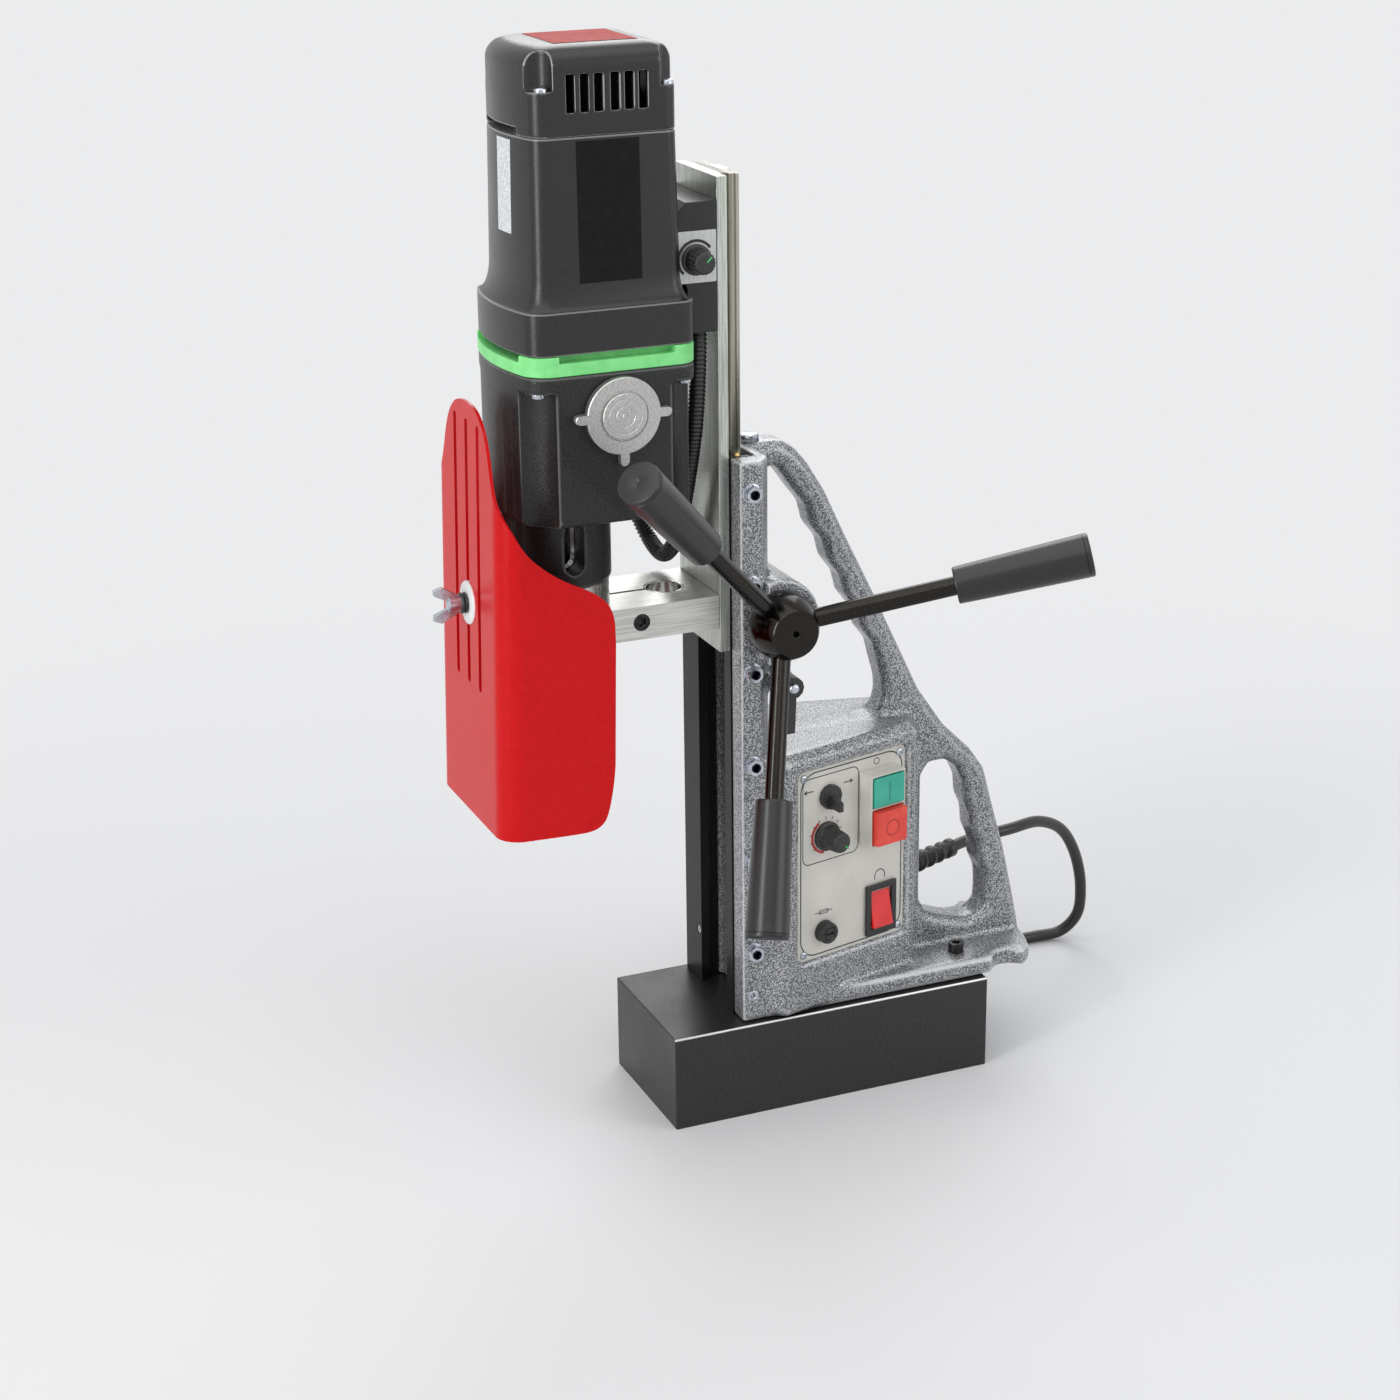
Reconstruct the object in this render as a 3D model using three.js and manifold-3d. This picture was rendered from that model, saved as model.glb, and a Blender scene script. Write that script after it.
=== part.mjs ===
// A magnetic drill: an electromagnet foot, a cast stand with a dovetail slide, a motor with gearbox and
// spindle on the slide, a three-spoke capstan that feeds it through a rack, and a red chip guard.
// Millimetres, +Z up. The origin is the centre of the magnet's underside. The spindle side is -Y, the
// control panel and the capstan are on +X, and the carrying handle is on +Y.
import * as THREE from "three";
import { mergeVertices } from "three/addons/utils/BufferGeometryUtils.js";
import Module from "manifold-3d";

const wasm = await Module();
wasm.setup();

// Clearances
const GAP = 0.3; // between pieces that touch
const OVERRUN = 3; // how far a cutter runs past what it cuts
const RUNNING = 0.09; // radial clearance of a shaft that turns in its bearing
const ROUND_SIDES = 24; // facets on a large round piece
const SMALL_SIDES = 12; // facets on a small round piece
const SCREW_SIDES = 8; // facets on a screw and its hole
const MERGE_DISTANCE = 1e-4;

// Electromagnet
const MAGNET = { width: 100, length: 220, height: 63 };
const COIL_SLOT = { outerWidth: 72, outerLength: 190, coreWidth: 36, coreLength: 154, depth: 48 };
const POTTING = { recess: 0.5, top: 12 };
const FOOT = MAGNET.height + GAP; // height at which the casting stands

// Column of the casting, seen from above
const COLUMN = {
  front: -61.5,
  halfWidth: 45.6,
  wall: 15.4,
  flatDepth: 14,
  back: -38.5,
  backHalfWidth: 34,
  channelDepth: 16.5,
  top: 426.7,
};
const CHANNEL = {
  half: COLUMN.halfWidth - COLUMN.wall,
  back: COLUMN.front + COLUMN.channelDepth,
  flatEnd: COLUMN.front + COLUMN.flatDepth,
};

// Slide that carries the drill: a flat plate with a dovetail on its back
const SLIDE = {
  halfWidth: 31,
  front: -69,
  plate: 6.7,
  dovetailDepth: 9.8,
  dovetailFrontHalf: 20,
  dovetailBackHalf: 26,
  bottom: 306.5,
  top: 593,
};
const SLIDE_BACK = SLIDE.front + SLIDE.plate;
const DOVETAIL_BACK = SLIDE_BACK + SLIDE.dovetailDepth;
const SLIDE_RUNNING_GAP = 0.35;

// Rack and pinion
const FEED = {
  module: 1.5,
  teeth: 12,
  axisY: -40,
  axisZ: 328,
  rackHalf: 9,
  rackGroove: 4.5,
  pinionHalf: 9.5,
};
const PINION_RADIUS = (FEED.module * FEED.teeth) / 2;
const RACK_PITCH_Y = FEED.axisY - PINION_RADIUS;
const SHAFT = { radius: 8, farEnd: -24, nearEnd: 69 };
const CHAMBER = { radius: 13, half: 19 };
const BOSS = { radius: 27, face: 54, frontLimit: -47.2, farRadius: 16, farFace: -47 };
const BUSH = { wall: 3, length: 17, lip: 0.4 };

// Gib screws with lock nuts, along the near front strip
const GIB_SCREW = {
  radius: 2.8,
  length: 22,
  nutRadius: 5.6,
  nutHeight: 5,
  y: -54.3,
  socket: 1.6,
  socketDepth: 3,
};
const GIB_SCREW_HEIGHTS = [408, 351, 296, 236, 174, 111];

// Flange of the casting on the magnet
const FLANGE = { halfWidth: 46.5, thickness: 12, straightEnd: 114 };
const TAIL = { end: 153, halfWidth: 38, cornerY: 147, shoulderHalf: 45, shoulderY: 139, roundHalf: 20 };
const TAIL_BITE = { radius: 12, x: 50, y: 127 };
const FOOT_BOLT = { x: 28, y: 98, shank: 3, depth: 9, head: 5, height: 6, socket: 2.5, socketDepth: 3 };
const TOP_BOLT = { y: -36, shank: 3, depth: 14, head: 5.4, height: 5 };

// Control panel: its lower front corner, its turn about Z and its size
const PANEL = { x: 50, y: -26.4, bottom: 99, turnDeg: 13.4, width: 86.5, height: 128.7, thickness: 1.5 };
const RIM = { proud: 2.5, front: 9, rear: 7 }; // the cast frame round the panel
const HOUSING = { above: 12.3, bevel: 5, frontY: -46, rearY: 77 };
const HOUSING_TOP = PANEL.bottom + PANEL.height + HOUSING.above;
const CAVITY = { inset: 5.5, depth: 54 };
const PANEL_TURN = THREE.MathUtils.degToRad(PANEL.turnDeg);

// Handle, from the web behind the column to the tail, drawn in shares of its reach and rise
const HANDLE = { start: -30, reach: 188, above: 1.3, half: 12.5, bevel: 4.5 };
const HANDLE_TOP = COLUMN.top + HANDLE.above;
const HANDLE_RISE = HANDLE_TOP - FOOT;
const HANDLE_OUTER_SHARES = [
  [0.061, 1.0],
  [0.112, 0.982],
  [0.157, 0.955],
  [0.219, 0.903],
  [0.296, 0.819],
  [0.401, 0.71],
  [0.507, 0.595],
  [0.574, 0.522],
  [0.674, 0.447],
  [0.776, 0.395],
  [0.832, 0.353],
  [0.867, 0.285],
  [0.918, 0.193],
  [0.956, 0.106],
  [0.982, 0.042],
  [0.985, 0.02],
];
// Windows of the handle: the finger edge is a wavy line between two of the points
const UPPER_WINDOW = {
  beforeShares: [
    [0.0, 0.485],
    [0.0, 0.955],
    [0.045, 0.955],
  ],
  gripShares: [
    [0.107, 0.91],
    [0.418, 0.582],
  ],
  afterShares: [
    [0.437, 0.548],
    [0.44, 0.523],
    [0.431, 0.503],
    [0.409, 0.49],
    [0.374, 0.485],
  ],
  fingers: 5,
  fingerDepth: 2.8,
};
const LOWER_WINDOW = {
  beforeShares: [
    [0.588, 0.12],
    [0.588, 0.36],
    [0.615, 0.381],
    [0.677, 0.382],
  ],
  gripShares: [
    [0.726, 0.363],
    [0.842, 0.118],
  ],
  afterShares: [
    [0.84, 0.086],
    [0.802, 0.07],
    [0.753, 0.07],
    [0.689, 0.08],
    [0.615, 0.095],
  ],
  fingers: 4,
  fingerDepth: 2.2,
};
const FINGER_STEPS = 4; // points along one finger groove

// Controls on the panel, in the panel's own frame: across it and up from its lower front corner.
// The upper ones hang at a distance below the panel's top edge.
const BELOW_TOP = { pushBox: 59.2, selector: 20.7, speed: 46.7, board: 18.7 };
const PUSH_BOX = {
  across: 49,
  up: PANEL.height - BELOW_TOP.pushBox,
  width: 28,
  height: 48.5,
  depth: 12,
  rim: 1.6,
  pocket: 8,
};
const BUTTON = { split: 26, slack: 0.5, startProud: 1.4, stopProud: 4.6, travel: 3, foot: 3.4 };
const ROCKER = { across: 54.5, up: 4, width: 24.5, height: 34.5, rim: 2, proud: 2.4, deep: 14, tilt: 0.2 };
const SELECTOR = {
  across: 24.8,
  up: PANEL.height - BELOW_TOP.selector,
  radius: 8,
  skirt: 3.4,
  paddleThick: 3.2,
  paddleEnd: 12.6,
};
// The paddle of the direction knob, out from the panel and up: shares of its reach and of the knob's radius
const PADDLE_SHARES = [
  [0.25, 0.2],
  [1.0, -0.16],
  [1.0, -0.9],
  [0.5, -0.86],
  [0.25, -0.98],
];
const SPEED = {
  across: 22.5,
  up: PANEL.height - BELOW_TOP.speed,
  skirtRadius: 9.5,
  skirt: 3,
  radius: 7,
  height: 17,
};
const FUSE = { across: 21, up: 17.5, radius: 7.4, height: 7, bodyRadius: 5, bodyLength: 20 };
const PANEL_SHAFT = { radius: 3, length: 8 };
const BOARD = { across: 12, up: 14, width: 58, thickness: 1.6, standoff: 5, standoffRadius: 2.5 };
const BOARD_HEIGHT = PANEL.height - BELOW_TOP.board - BOARD.up;
const COMPONENT = { across: 14, up: 20, width: 30, height: 36, depth: 22 };

// Strain relief on the housing's rear slope
const GLAND = {
  x: -23,
  z: 113,
  stem: 5.6,
  stemLength: 22,
  flange: 9,
  flangeLength: 3,
  length: 70,
  root: 8,
  tip: 6.4,
};
const GLAND_RIBS = 5;
const GLAND_WAIST_SHARE = 0.72;

// Mains cord: radius, the hand-chosen run of its free stretch, and its coil
const CORD = { radius: 4, sides: 8, steps: 32, floor: 4.3 };
const CORD_RUN = [
  [-58, 184, 114],
  [-70, 214, 110],
  [-80, 238, 96],
  [-87, 254, 72],
  [-91, 262, 44],
  [-95, 262, 20],
  [-100, 252, 7],
  [-104, 234, 4.4],
  [-104, 205, 4.4],
  [-98, 175, 4.4],
  [-88, 145, 4.4],
  [-80, 118, 4.4],
];
const CORD_LEAD = 16; // straight length where the cord leaves a piece
const WIND = { x: -128, y: 62, inner: 33, pitch: 8.9, layers: 4, turns: 2, tail: 78, straight: 9 };
const WIND_STEPS = 18;
const WIND_SIDES = 6;
const PLUG = { width: 48, length: 44, height: 22, bevel: 3, pinWidth: 6.4, pinThick: 4, pinLength: 18 };
const PLUG_PINS = { liveSpread: 11, liveUp: 11, earthUp: 11 };

// Capstan hub, spokes and grips
const HUB = { back: 54.3, front: 78, backRadius: 21.5, frontRadius: 15, spokeX: 58.5, centreHole: 2 };
const SPOKE = { radius: 5.8, inner: 12, outer: 141, tiltDeg: 23.7, firstDeg: 134.8, count: 3 };
const GRIP = { start: 105, end: 187, startRadius: 10, endRadius: 12.6, lip: 1.2, cap: 4, boreEnd: 142 };

// Slide lock lever
const LOCK = { y: -33, z: 287, lugRadius: 8.5, lugFace: 41, hubRadius: 7, face: 59, stud: 3, studLength: 9 };
const LOCK_ARM = { length: 31, thick: 7, rootWidth: 9, tipWidth: 6.5, setback: 5 };

// Spindle, motor and gearbox
const SPINDLE_Y = -161;
const MOTOR_Y = -138.5;
const BRACKET = { bottom: 322, height: 20.6, holeY: -92.8, holeRadius: 11, slit: 3, bossRadius: 22 };
const CLAMP = { y: -119.5, z: 332.6, shank: 2.8, head: 5, headDepth: 6, socket: 2.2, socketDepth: 3 };
const NOSE = { bottom: 318, collarTop: 358.7 };
const SPINDLE = {
  bottom: 296,
  radius: 16,
  shoulder: 404,
  stemRadius: 11,
  top: 452,
  mouth: 11.9,
  socketTop: 392,
  socketEnd: 9.9,
};
const SPINDLE_GEAR = { teeth: 28, bottom: 411, height: 16 };
const FRONT_BOW_SHARE = 0.17; // how far the tower's front side is bowed outward, as a share of its half width
const FRONT_STEPS = 6;
const GEARBOX = { half: 49.9, corner: 10, bottom: 401, top: 490.7, wall: 4, neckRadius: 32.5, neckBore: 17 };
const CORNER_RECESS = { radius: 16.5, depth: 80 }; // round recesses at the four corners, from below
const DRIFT = { bottom: 367.7, top: 399, width: 12 };
const TRAIN = { module: 1.5, firstModule: 1.25, pinionTeeth: 8, wheelTeeth: 24, idlerTeeth: 10 };
const IDLER = { wheelBottom: 436, wheelHeight: 10, shaft: 4, bottomLap: 0.3, pinBoss: 7, pinBossTop: 408 };
const BEARING_PLATE = { half: 50.3, corner: 12, top: 502.4, notchDrop: 4, notchInset: 15, notchDepth: 7 };
const MOTOR = {
  flangeHalf: 49.5,
  flangeCorner: 12,
  flangeTop: 527,
  flareTop: 546,
  bodyHalf: 43.4,
  topHalf: 42.2,
  corner: 7,
  top: 622.7,
  bore: 38.5,
};
// Cap: upright sides, then a crown that rounds inward to a flat of half width crownHalf
const CAP = { bottom: 623, side: 37, crown: 12.7, crownPower: 0.6, wall: 3.6, crownHalf: 22 };
const CAP_SHOULDER = CAP.bottom + CAP.side;
const CAP_TOP = CAP_SHOULDER + CAP.crown;
// Vents, pockets and slot of the cap: heights in shares of its upright side
const VENT = { lowShare: 0.35, highShare: 0.92, width: 5, pitch: 8.4, groupSpacing: 26.5, perGroup: 3 };
const CAP_POCKET = { radius: 11, floorShare: 0.676 };
const SEAM_SLOT = { low: -34, high: 23, heightShare: 0.12, depth: 10 };
const STATOR = { inner: 26, bottom: 556, top: 606 };
const ARMATURE = {
  radius: 25,
  bottom: 561,
  top: 601,
  shaft: 5,
  end: 646,
  commutator: 14,
  commutatorTop: 628,
};
const FAN = { radius: 36, bottom: 520, thickness: 8 };
const SELECT_DISC = { z: 466, y: -137.4, radius: 22.5, thickness: 5, inner: 13.5, innerProud: 1.5 };
const SELECT_EAR = { length: 7, width: 5.5, stem: 5, stemLength: 3.4 };

// Torque control box behind the motor, with its knob
const TORQUE = {
  half: 33,
  bottom: 504,
  top: 580,
  frontLow: -88.4,
  frontHigh: -94.5,
  step: 530,
  flare: 548,
  round: 6,
};
const TORQUE_KNOB = { y: -83, z: 547, skirt: 9, skirtLength: 2.5, radius: 7, length: 15 };

// Ribbed conduit from the torque box to a socket on the gearbox's far side
const CONDUIT = { radius: 5, groove: 4.1, bore: 3.2, ribPitch: 4, sides: 7, straight: 10 };
const CONDUIT_START = [26, -79, TORQUE.bottom - GAP];
const CONDUIT_SOCKET = { y: -104, bottom: 430.3, height: 16, width: 15, reach: 15.6 };
const CONDUIT_RUN = [
  [21, -79.3, 450],
  [11, -79.5, 417],
  [1, -80, 390],
  [-13, -80, 365],
  [-33, -80, 352.6],
  [-51, -82, 359],
  [-57.6, -90, 381],
  [-57.8, -100, 402],
];
const BORE_RING_EVERY = 5;

// Chip guard, in a frame at the spindle axis and the wing screw's height
const GUARD = { height: 348, leanDeg: 1.5, front: 54, half: 57, sheet: 2, bend: 12, bottom: -132, top: 121 };
const GUARD_TOP_SHARES = [
  [0.0, 1.0],
  [0.24, 0.99],
  [0.45, 0.94],
  [0.58, 0.875],
  [0.67, 0.78],
  [0.74, 0.66],
  [0.83, 0.6],
  [1.1, 0.57],
];
// Upper edge of a wing, back from the front face: shares of the wing's depth and of the guard's top
const WING = { depth: 68.5, rearCorner: 20, tailShare: 0.12 };
const WING_EDGE_SHARES = [
  [0.045, 0.6],
  [0.1, 0.47],
  [0.2, 0.36],
  [0.35, 0.28],
  [0.53, 0.21],
  [0.74, 0.15],
  [0.9, 0.08],
  [0.98, -0.02],
  [1.0, -0.13],
];
const SLOT = { width: 5, spacing: 20.2, bottom: -49.5, top: 111 };
const HOLDER = {
  half: 26,
  bottom: -20,
  top: 10,
  seatGap: 0.5,
  boreDepth: 12,
  screwRadius: 2.2,
  pinRadius: 2.1,
};
const GUARD_WASHER = { radius: 13, thickness: 3 };
const WING_SCREW = {
  hub: 5,
  hubLength: 11,
  wingSpan: 11,
  wingReach: 20,
  wingThick: 3,
  wingRoot: 4,
  wingTip: 5,
};

const DEG = THREE.MathUtils.degToRad;

// Finishes: colour, roughness and metalness of each material
const FINISHES = {
  black_enamel: [0x1c1c1d, 0.45, 0.3],
  copper: [0xb4642c, 0.4, 0.9],
  resin: [0x2a2622, 0.6, 0],
  hammered_grey: [0x9a9ea1, 0.42, 0.35],
  dark_steel: [0x55524e, 0.3, 0.9],
  brass: [0xb99a4a, 0.35, 0.9],
  zinc: [0xc2c6ca, 0.3, 0.9],
  aluminium: [0xc3c4c0, 0.35, 0.85],
  black_plastic: [0x202122, 0.5, 0],
  green_plastic: [0x7fe07c, 0.45, 0],
  red_gloss: [0xc81018, 0.15, 0.1],
  cream: [0xcac9bb, 0.5, 0],
  teal: [0x3fb095, 0.4, 0],
  coral: [0xe84b3c, 0.4, 0],
  blackened: [0x262525, 0.35, 0.7],
  grip: [0x323232, 0.55, 0],
  board: [0x2f6b45, 0.6, 0],
  white: [0xe4e4e0, 0.5, 0],
  steel: [0x9a9c9e, 0.3, 0.9],
};

function finish(name) {
  const [color, roughness, metalness] = FINISHES[name];
  return new THREE.MeshStandardMaterial({ name, color, roughness, metalness });
}

// Solids: a three.js geometry becomes a closed body that can be joined and cut

function toSolid(geometry) {
  const bare = geometry.clone();
  bare.deleteAttribute("normal");
  bare.deleteAttribute("uv");
  const merged = mergeVertices(bare, MERGE_DISTANCE);
  const corners = merged.index.array;
  const kept = [];
  for (let i = 0; i < corners.length; i += 3) {
    const [a, b, c] = corners.slice(i, i + 3);
    if (a !== b && b !== c && a !== c) kept.push(a, b, c);
  }
  const vertProperties = merged.attributes.position.array;
  return new wasm.Manifold(new wasm.Mesh({ numProp: 3, vertProperties, triVerts: new Uint32Array(kept) }));
}

function toGeometry(solid) {
  const { vertProperties, triVerts } = solid.getMesh();
  const geometry = new THREE.BufferGeometry();
  geometry.setAttribute("position", new THREE.BufferAttribute(vertProperties, 3));
  geometry.setIndex(new THREE.BufferAttribute(triVerts, 1));
  geometry.computeVertexNormals();
  return geometry;
}

const join = (first, ...others) => others.reduce((whole, other) => whole.add(other), first);
const cut = (first, ...others) => others.reduce((rest, other) => rest.subtract(other), first);

function piece(name, shape, finishName) {
  const geometry = shape.isBufferGeometry ? shape : toGeometry(shape);
  const mesh = new THREE.Mesh(geometry, finish(finishName));
  mesh.name = name;
  return mesh;
}

// Frames that lay a drawn outline across one axis: outline x, outline y, depth
const ACROSS = {
  x: new THREE.Matrix4().makeBasis(vec(0, 1, 0), vec(0, 0, 1), vec(1, 0, 0)),
  y: new THREE.Matrix4().makeBasis(vec(1, 0, 0), vec(0, 0, 1), vec(0, -1, 0)),
  z: new THREE.Matrix4(),
};

function vec(x, y, z) {
  return new THREE.Vector3(x, y, z);
}

// An outline drawn across an axis and extruded from low to high along it. Across x it is drawn in
// (y, z), across y in (x, z) and across z in (x, y). A bevel chamfers both ends within the length.
function prism(axis, outline, low, high, { holes = [], bevel = 0 } = {}) {
  const shape = new THREE.Shape(outline.map(([a, b]) => new THREE.Vector2(a, b)));
  for (const hole of holes) shape.holes.push(new THREE.Path(hole.map(([a, b]) => new THREE.Vector2(a, b))));
  const geometry = new THREE.ExtrudeGeometry(shape, {
    depth: high - low - 2 * bevel,
    bevelEnabled: bevel > 0,
    bevelThickness: bevel,
    bevelSize: bevel,
    bevelOffset: -bevel,
    bevelSegments: 1,
    curveSegments: 1,
  });
  geometry.translate(0, 0, bevel);
  geometry.applyMatrix4(ACROSS[axis]);
  const start = { x: vec(low, 0, 0), y: vec(0, high, 0), z: vec(0, 0, low) }[axis];
  return toSolid(geometry.translate(start.x, start.y, start.z));
}

function circle(radius, at = [0, 0], sides = ROUND_SIDES, turn = 0) {
  const points = [];
  for (let i = 0; i < sides; i += 1) {
    const angle = turn + (2 * Math.PI * i) / sides;
    points.push([at[0] + radius * Math.cos(angle), at[1] + radius * Math.sin(angle)]);
  }
  return points;
}

const rod = (axis, radius, at, low, high, sides = ROUND_SIDES) =>
  prism(axis, circle(radius, at, sides), low, high);

function block(low, high) {
  const [width, depth, height] = [0, 1, 2].map((i) => high[i] - low[i]);
  const [x, y, z] = [0, 1, 2].map((i) => (high[i] + low[i]) / 2);
  return toSolid(new THREE.BoxGeometry(width, depth, height).translate(x, y, z));
}

// A rounded square about (0, y), as an outline
function roundedSquare(half, corner, y, steps = 3) {
  const points = [];
  for (let quarter = 0; quarter < 4; quarter += 1) {
    for (let i = 0; i <= steps; i += 1) {
      const angle = (Math.PI / 2) * (quarter + i / steps);
      const [sx, sy] = [
        [1, 1],
        [-1, 1],
        [-1, -1],
        [1, -1],
      ][quarter];
      const reach = half - corner;
      points.push([sx * reach + corner * Math.cos(angle), y + sy * reach + corner * Math.sin(angle)]);
    }
  }
  return points;
}

// Plan of the drill's tower: a rounded square about the motor's axis, its front side bowed outward
function towerOutline(half, corner) {
  const outline = roundedSquare(half, corner, MOTOR_Y);
  const reach = half - corner;
  const front = [];
  for (let i = 1; i < FRONT_STEPS; i += 1) {
    front.push([reach * ((2 * i) / FRONT_STEPS - 1), MOTOR_Y - half]);
  }
  outline.splice((outline.length * 3) / 4, 0, ...front);
  const bow = (x) => FRONT_BOW_SHARE * half * (1 - (x / half) ** 2);
  return outline.map(([x, y]) => [x, y < MOTOR_Y ? y - bow(x) : y]);
}

// A closed body through level rings of equal point count: each ring is a plan of the tower at a height
function towerGeometry(rings) {
  const outlines = rings.map(({ half, corner, z }) => towerOutline(half, corner).map(([x, y]) => [x, y, z]));
  return ringBody(outlines, true);
}

// Corner radius of a square hollow that keeps a wall's thickness from a round recess at the outer corner
function hollowCorner(half, inside, recess, wall) {
  return (recess + wall - (half - inside) * Math.SQRT2) / (Math.SQRT2 - 1);
}

// A body through rings of points, each ring running the same way round, closed by flat ends
function ringBody(rings, capped) {
  const count = rings[0].length;
  const positions = rings.flat(2);
  const index = [];
  for (let r = 0; r + 1 < rings.length; r += 1) {
    for (let i = 0; i < count; i += 1) {
      const j = (i + 1) % count;
      const [a, b, c, d] = [r * count + i, r * count + j, (r + 1) * count + i, (r + 1) * count + j];
      index.push(a, b, d, a, d, c);
    }
  }
  if (capped) {
    const last = (rings.length - 1) * count;
    for (let i = 1; i + 1 < count; i += 1) {
      index.push(0, i + 1, i);
      index.push(last, last + i, last + i + 1);
    }
  }
  const geometry = new THREE.BufferGeometry();
  geometry.setAttribute("position", new THREE.Float32BufferAttribute(positions, 3));
  geometry.setIndex(index);
  return geometry;
}

// A turned body about Z through (x, y): the profile lists radius and height, anticlockwise from its
// lowest inner point when the radius is drawn to the right and the height up
function turned(profile, at = [0, 0], sides = ROUND_SIDES) {
  const closed = profile[0][0] > 0 ? [...profile, profile[0]] : profile;
  const points = closed.map(([radius, height]) => new THREE.Vector2(radius, height));
  const geometry = new THREE.LatheGeometry(points, sides);
  geometry.rotateX(Math.PI / 2);
  geometry.translate(at[0], at[1], 0);
  return geometry;
}

// Lays a geometry or solid made about Z along a direction, from a point
function aimed(geometry, from, direction) {
  const turn = new THREE.Quaternion().setFromUnitVectors(vec(0, 0, 1), direction.clone().normalize());
  return geometry.applyQuaternion(turn).translate(from[0], from[1], from[2]);
}

const mirrored = (outline) => outline.map(([x, y]) => [-x, y]).reverse();

// Places on the turned control panel, from its lower front corner

function panelPoint(out, across) {
  return [
    PANEL.x + out * Math.cos(PANEL_TURN) - across * Math.sin(PANEL_TURN),
    PANEL.y + out * Math.sin(PANEL_TURN) + across * Math.cos(PANEL_TURN),
  ];
}

function panelFrame() {
  const frame = new THREE.Group();
  frame.position.set(PANEL.x, PANEL.y, PANEL.bottom);
  frame.rotation.z = PANEL_TURN;
  frame.updateMatrixWorld(true);
  return frame;
}

function onPanel(solid) {
  return toSolid(toGeometry(solid).applyMatrix4(panelFrame().matrixWorld));
}

// Electromagnet

function ringSlab(outer, inner, low, high) {
  const outside = block([-outer[0] / 2, -outer[1] / 2, low], [outer[0] / 2, outer[1] / 2, high]);
  const inside = block(
    [-inner[0] / 2, -inner[1] / 2, low - OVERRUN],
    [inner[0] / 2, inner[1] / 2, high + OVERRUN],
  );
  return cut(outside, inside);
}

function buildMagnet() {
  const { width, length, height } = MAGNET;
  const slot = COIL_SLOT;
  const steel = block([-width / 2, -length / 2, 0], [width / 2, length / 2, height]);
  const slotCut = ringSlab(
    [slot.outerWidth, slot.outerLength],
    [slot.coreWidth, slot.coreLength],
    -OVERRUN,
    slot.depth,
  );
  const outer = [slot.outerWidth - 2 * GAP, slot.outerLength - 2 * GAP];
  const inner = [slot.coreWidth + 2 * GAP, slot.coreLength + 2 * GAP];
  return [
    piece("magnet_body", cut(steel, slotCut), "black_enamel"),
    piece("magnet_coil", ringSlab(outer, inner, POTTING.top + GAP, slot.depth - GAP), "copper"),
    piece("magnet_potting", ringSlab(outer, inner, POTTING.recess, POTTING.top), "resin"),
  ];
}

// Casting

function columnSolid() {
  const { halfWidth, front, back, backHalfWidth, top } = COLUMN;
  const seat = SLIDE.dovetailBackHalf + SLIDE_RUNNING_GAP;
  const outline = [
    [CHANNEL.half, front],
    [halfWidth, front],
    [halfWidth, CHANNEL.flatEnd],
    [backHalfWidth, back],
    [-backHalfWidth, back],
    [-halfWidth, CHANNEL.flatEnd],
    [-seat, CHANNEL.flatEnd],
    [-seat, CHANNEL.back],
    [CHANNEL.half, CHANNEL.back],
  ];
  return prism("z", outline, FOOT, top);
}

function flangeSolid() {
  const { halfWidth, thickness, straightEnd } = FLANGE;
  const right = [
    [halfWidth, CHANNEL.back],
    [halfWidth, straightEnd],
    [TAIL.shoulderHalf, TAIL.shoulderY],
    [TAIL.halfWidth, TAIL.cornerY],
    [TAIL.roundHalf, TAIL.end],
  ];
  const slab = prism("z", [...right, ...mirrored(right)], FOOT, FOOT + thickness);
  const bites = [-1, 1].map((side) =>
    rod("z", TAIL_BITE.radius, [side * TAIL_BITE.x, TAIL_BITE.y], FOOT - OVERRUN, FOOT + thickness + OVERRUN),
  );
  return cut(slab, ...bites);
}

function housingSolid() {
  const front = panelPoint(RIM.proud, -RIM.front);
  const rear = panelPoint(RIM.proud, PANEL.width + RIM.rear);
  const right = [[COLUMN.halfWidth, HOUSING.frontY], front, rear];
  const outline = [...right, [0, HOUSING.rearY], ...mirrored(right)];
  return prism("z", outline, FOOT, HOUSING_TOP, { bevel: HOUSING.bevel });
}

const handlePoint = ([across, up]) => [HANDLE.start + across * HANDLE.reach, FOOT + up * HANDLE_RISE];

// The finger edge between two points: grooves pressed outward into the handle's bar
function fingerEdge([start, end], fingers, depth) {
  const [from, to] = [handlePoint(start), handlePoint(end)];
  const along = [to[0] - from[0], to[1] - from[1]];
  const length = Math.hypot(...along);
  const outward = [-along[1] / length, along[0] / length];
  const points = [];
  for (let i = 0; i <= fingers * FINGER_STEPS; i += 1) {
    const share = i / (fingers * FINGER_STEPS);
    const press = (depth * (1 - Math.cos(2 * Math.PI * fingers * share))) / 2;
    points.push(
      [from[0] + share * along[0] + press * outward[0], from[1] + share * along[1] + press * outward[1]]
    );
  }
  return points;
}

function windowOutline({ beforeShares, gripShares, afterShares, fingers, fingerDepth }) {
  return [
    ...beforeShares.map(handlePoint),
    ...fingerEdge(gripShares, fingers, fingerDepth),
    ...afterShares.map(handlePoint),
  ];
}

function handleSolid() {
  const inColumn = CHANNEL.back + OVERRUN;
  const outline = [
    [inColumn, FOOT],
    ...[...HANDLE_OUTER_SHARES].reverse().map(handlePoint),
    [HANDLE.start, HANDLE_TOP],
    [inColumn, COLUMN.top],
  ];
  const holes = [windowOutline(UPPER_WINDOW), windowOutline(LOWER_WINDOW)];
  return prism("x", outline, -HANDLE.half, HANDLE.half, { holes, bevel: HANDLE.bevel });
}

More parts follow.
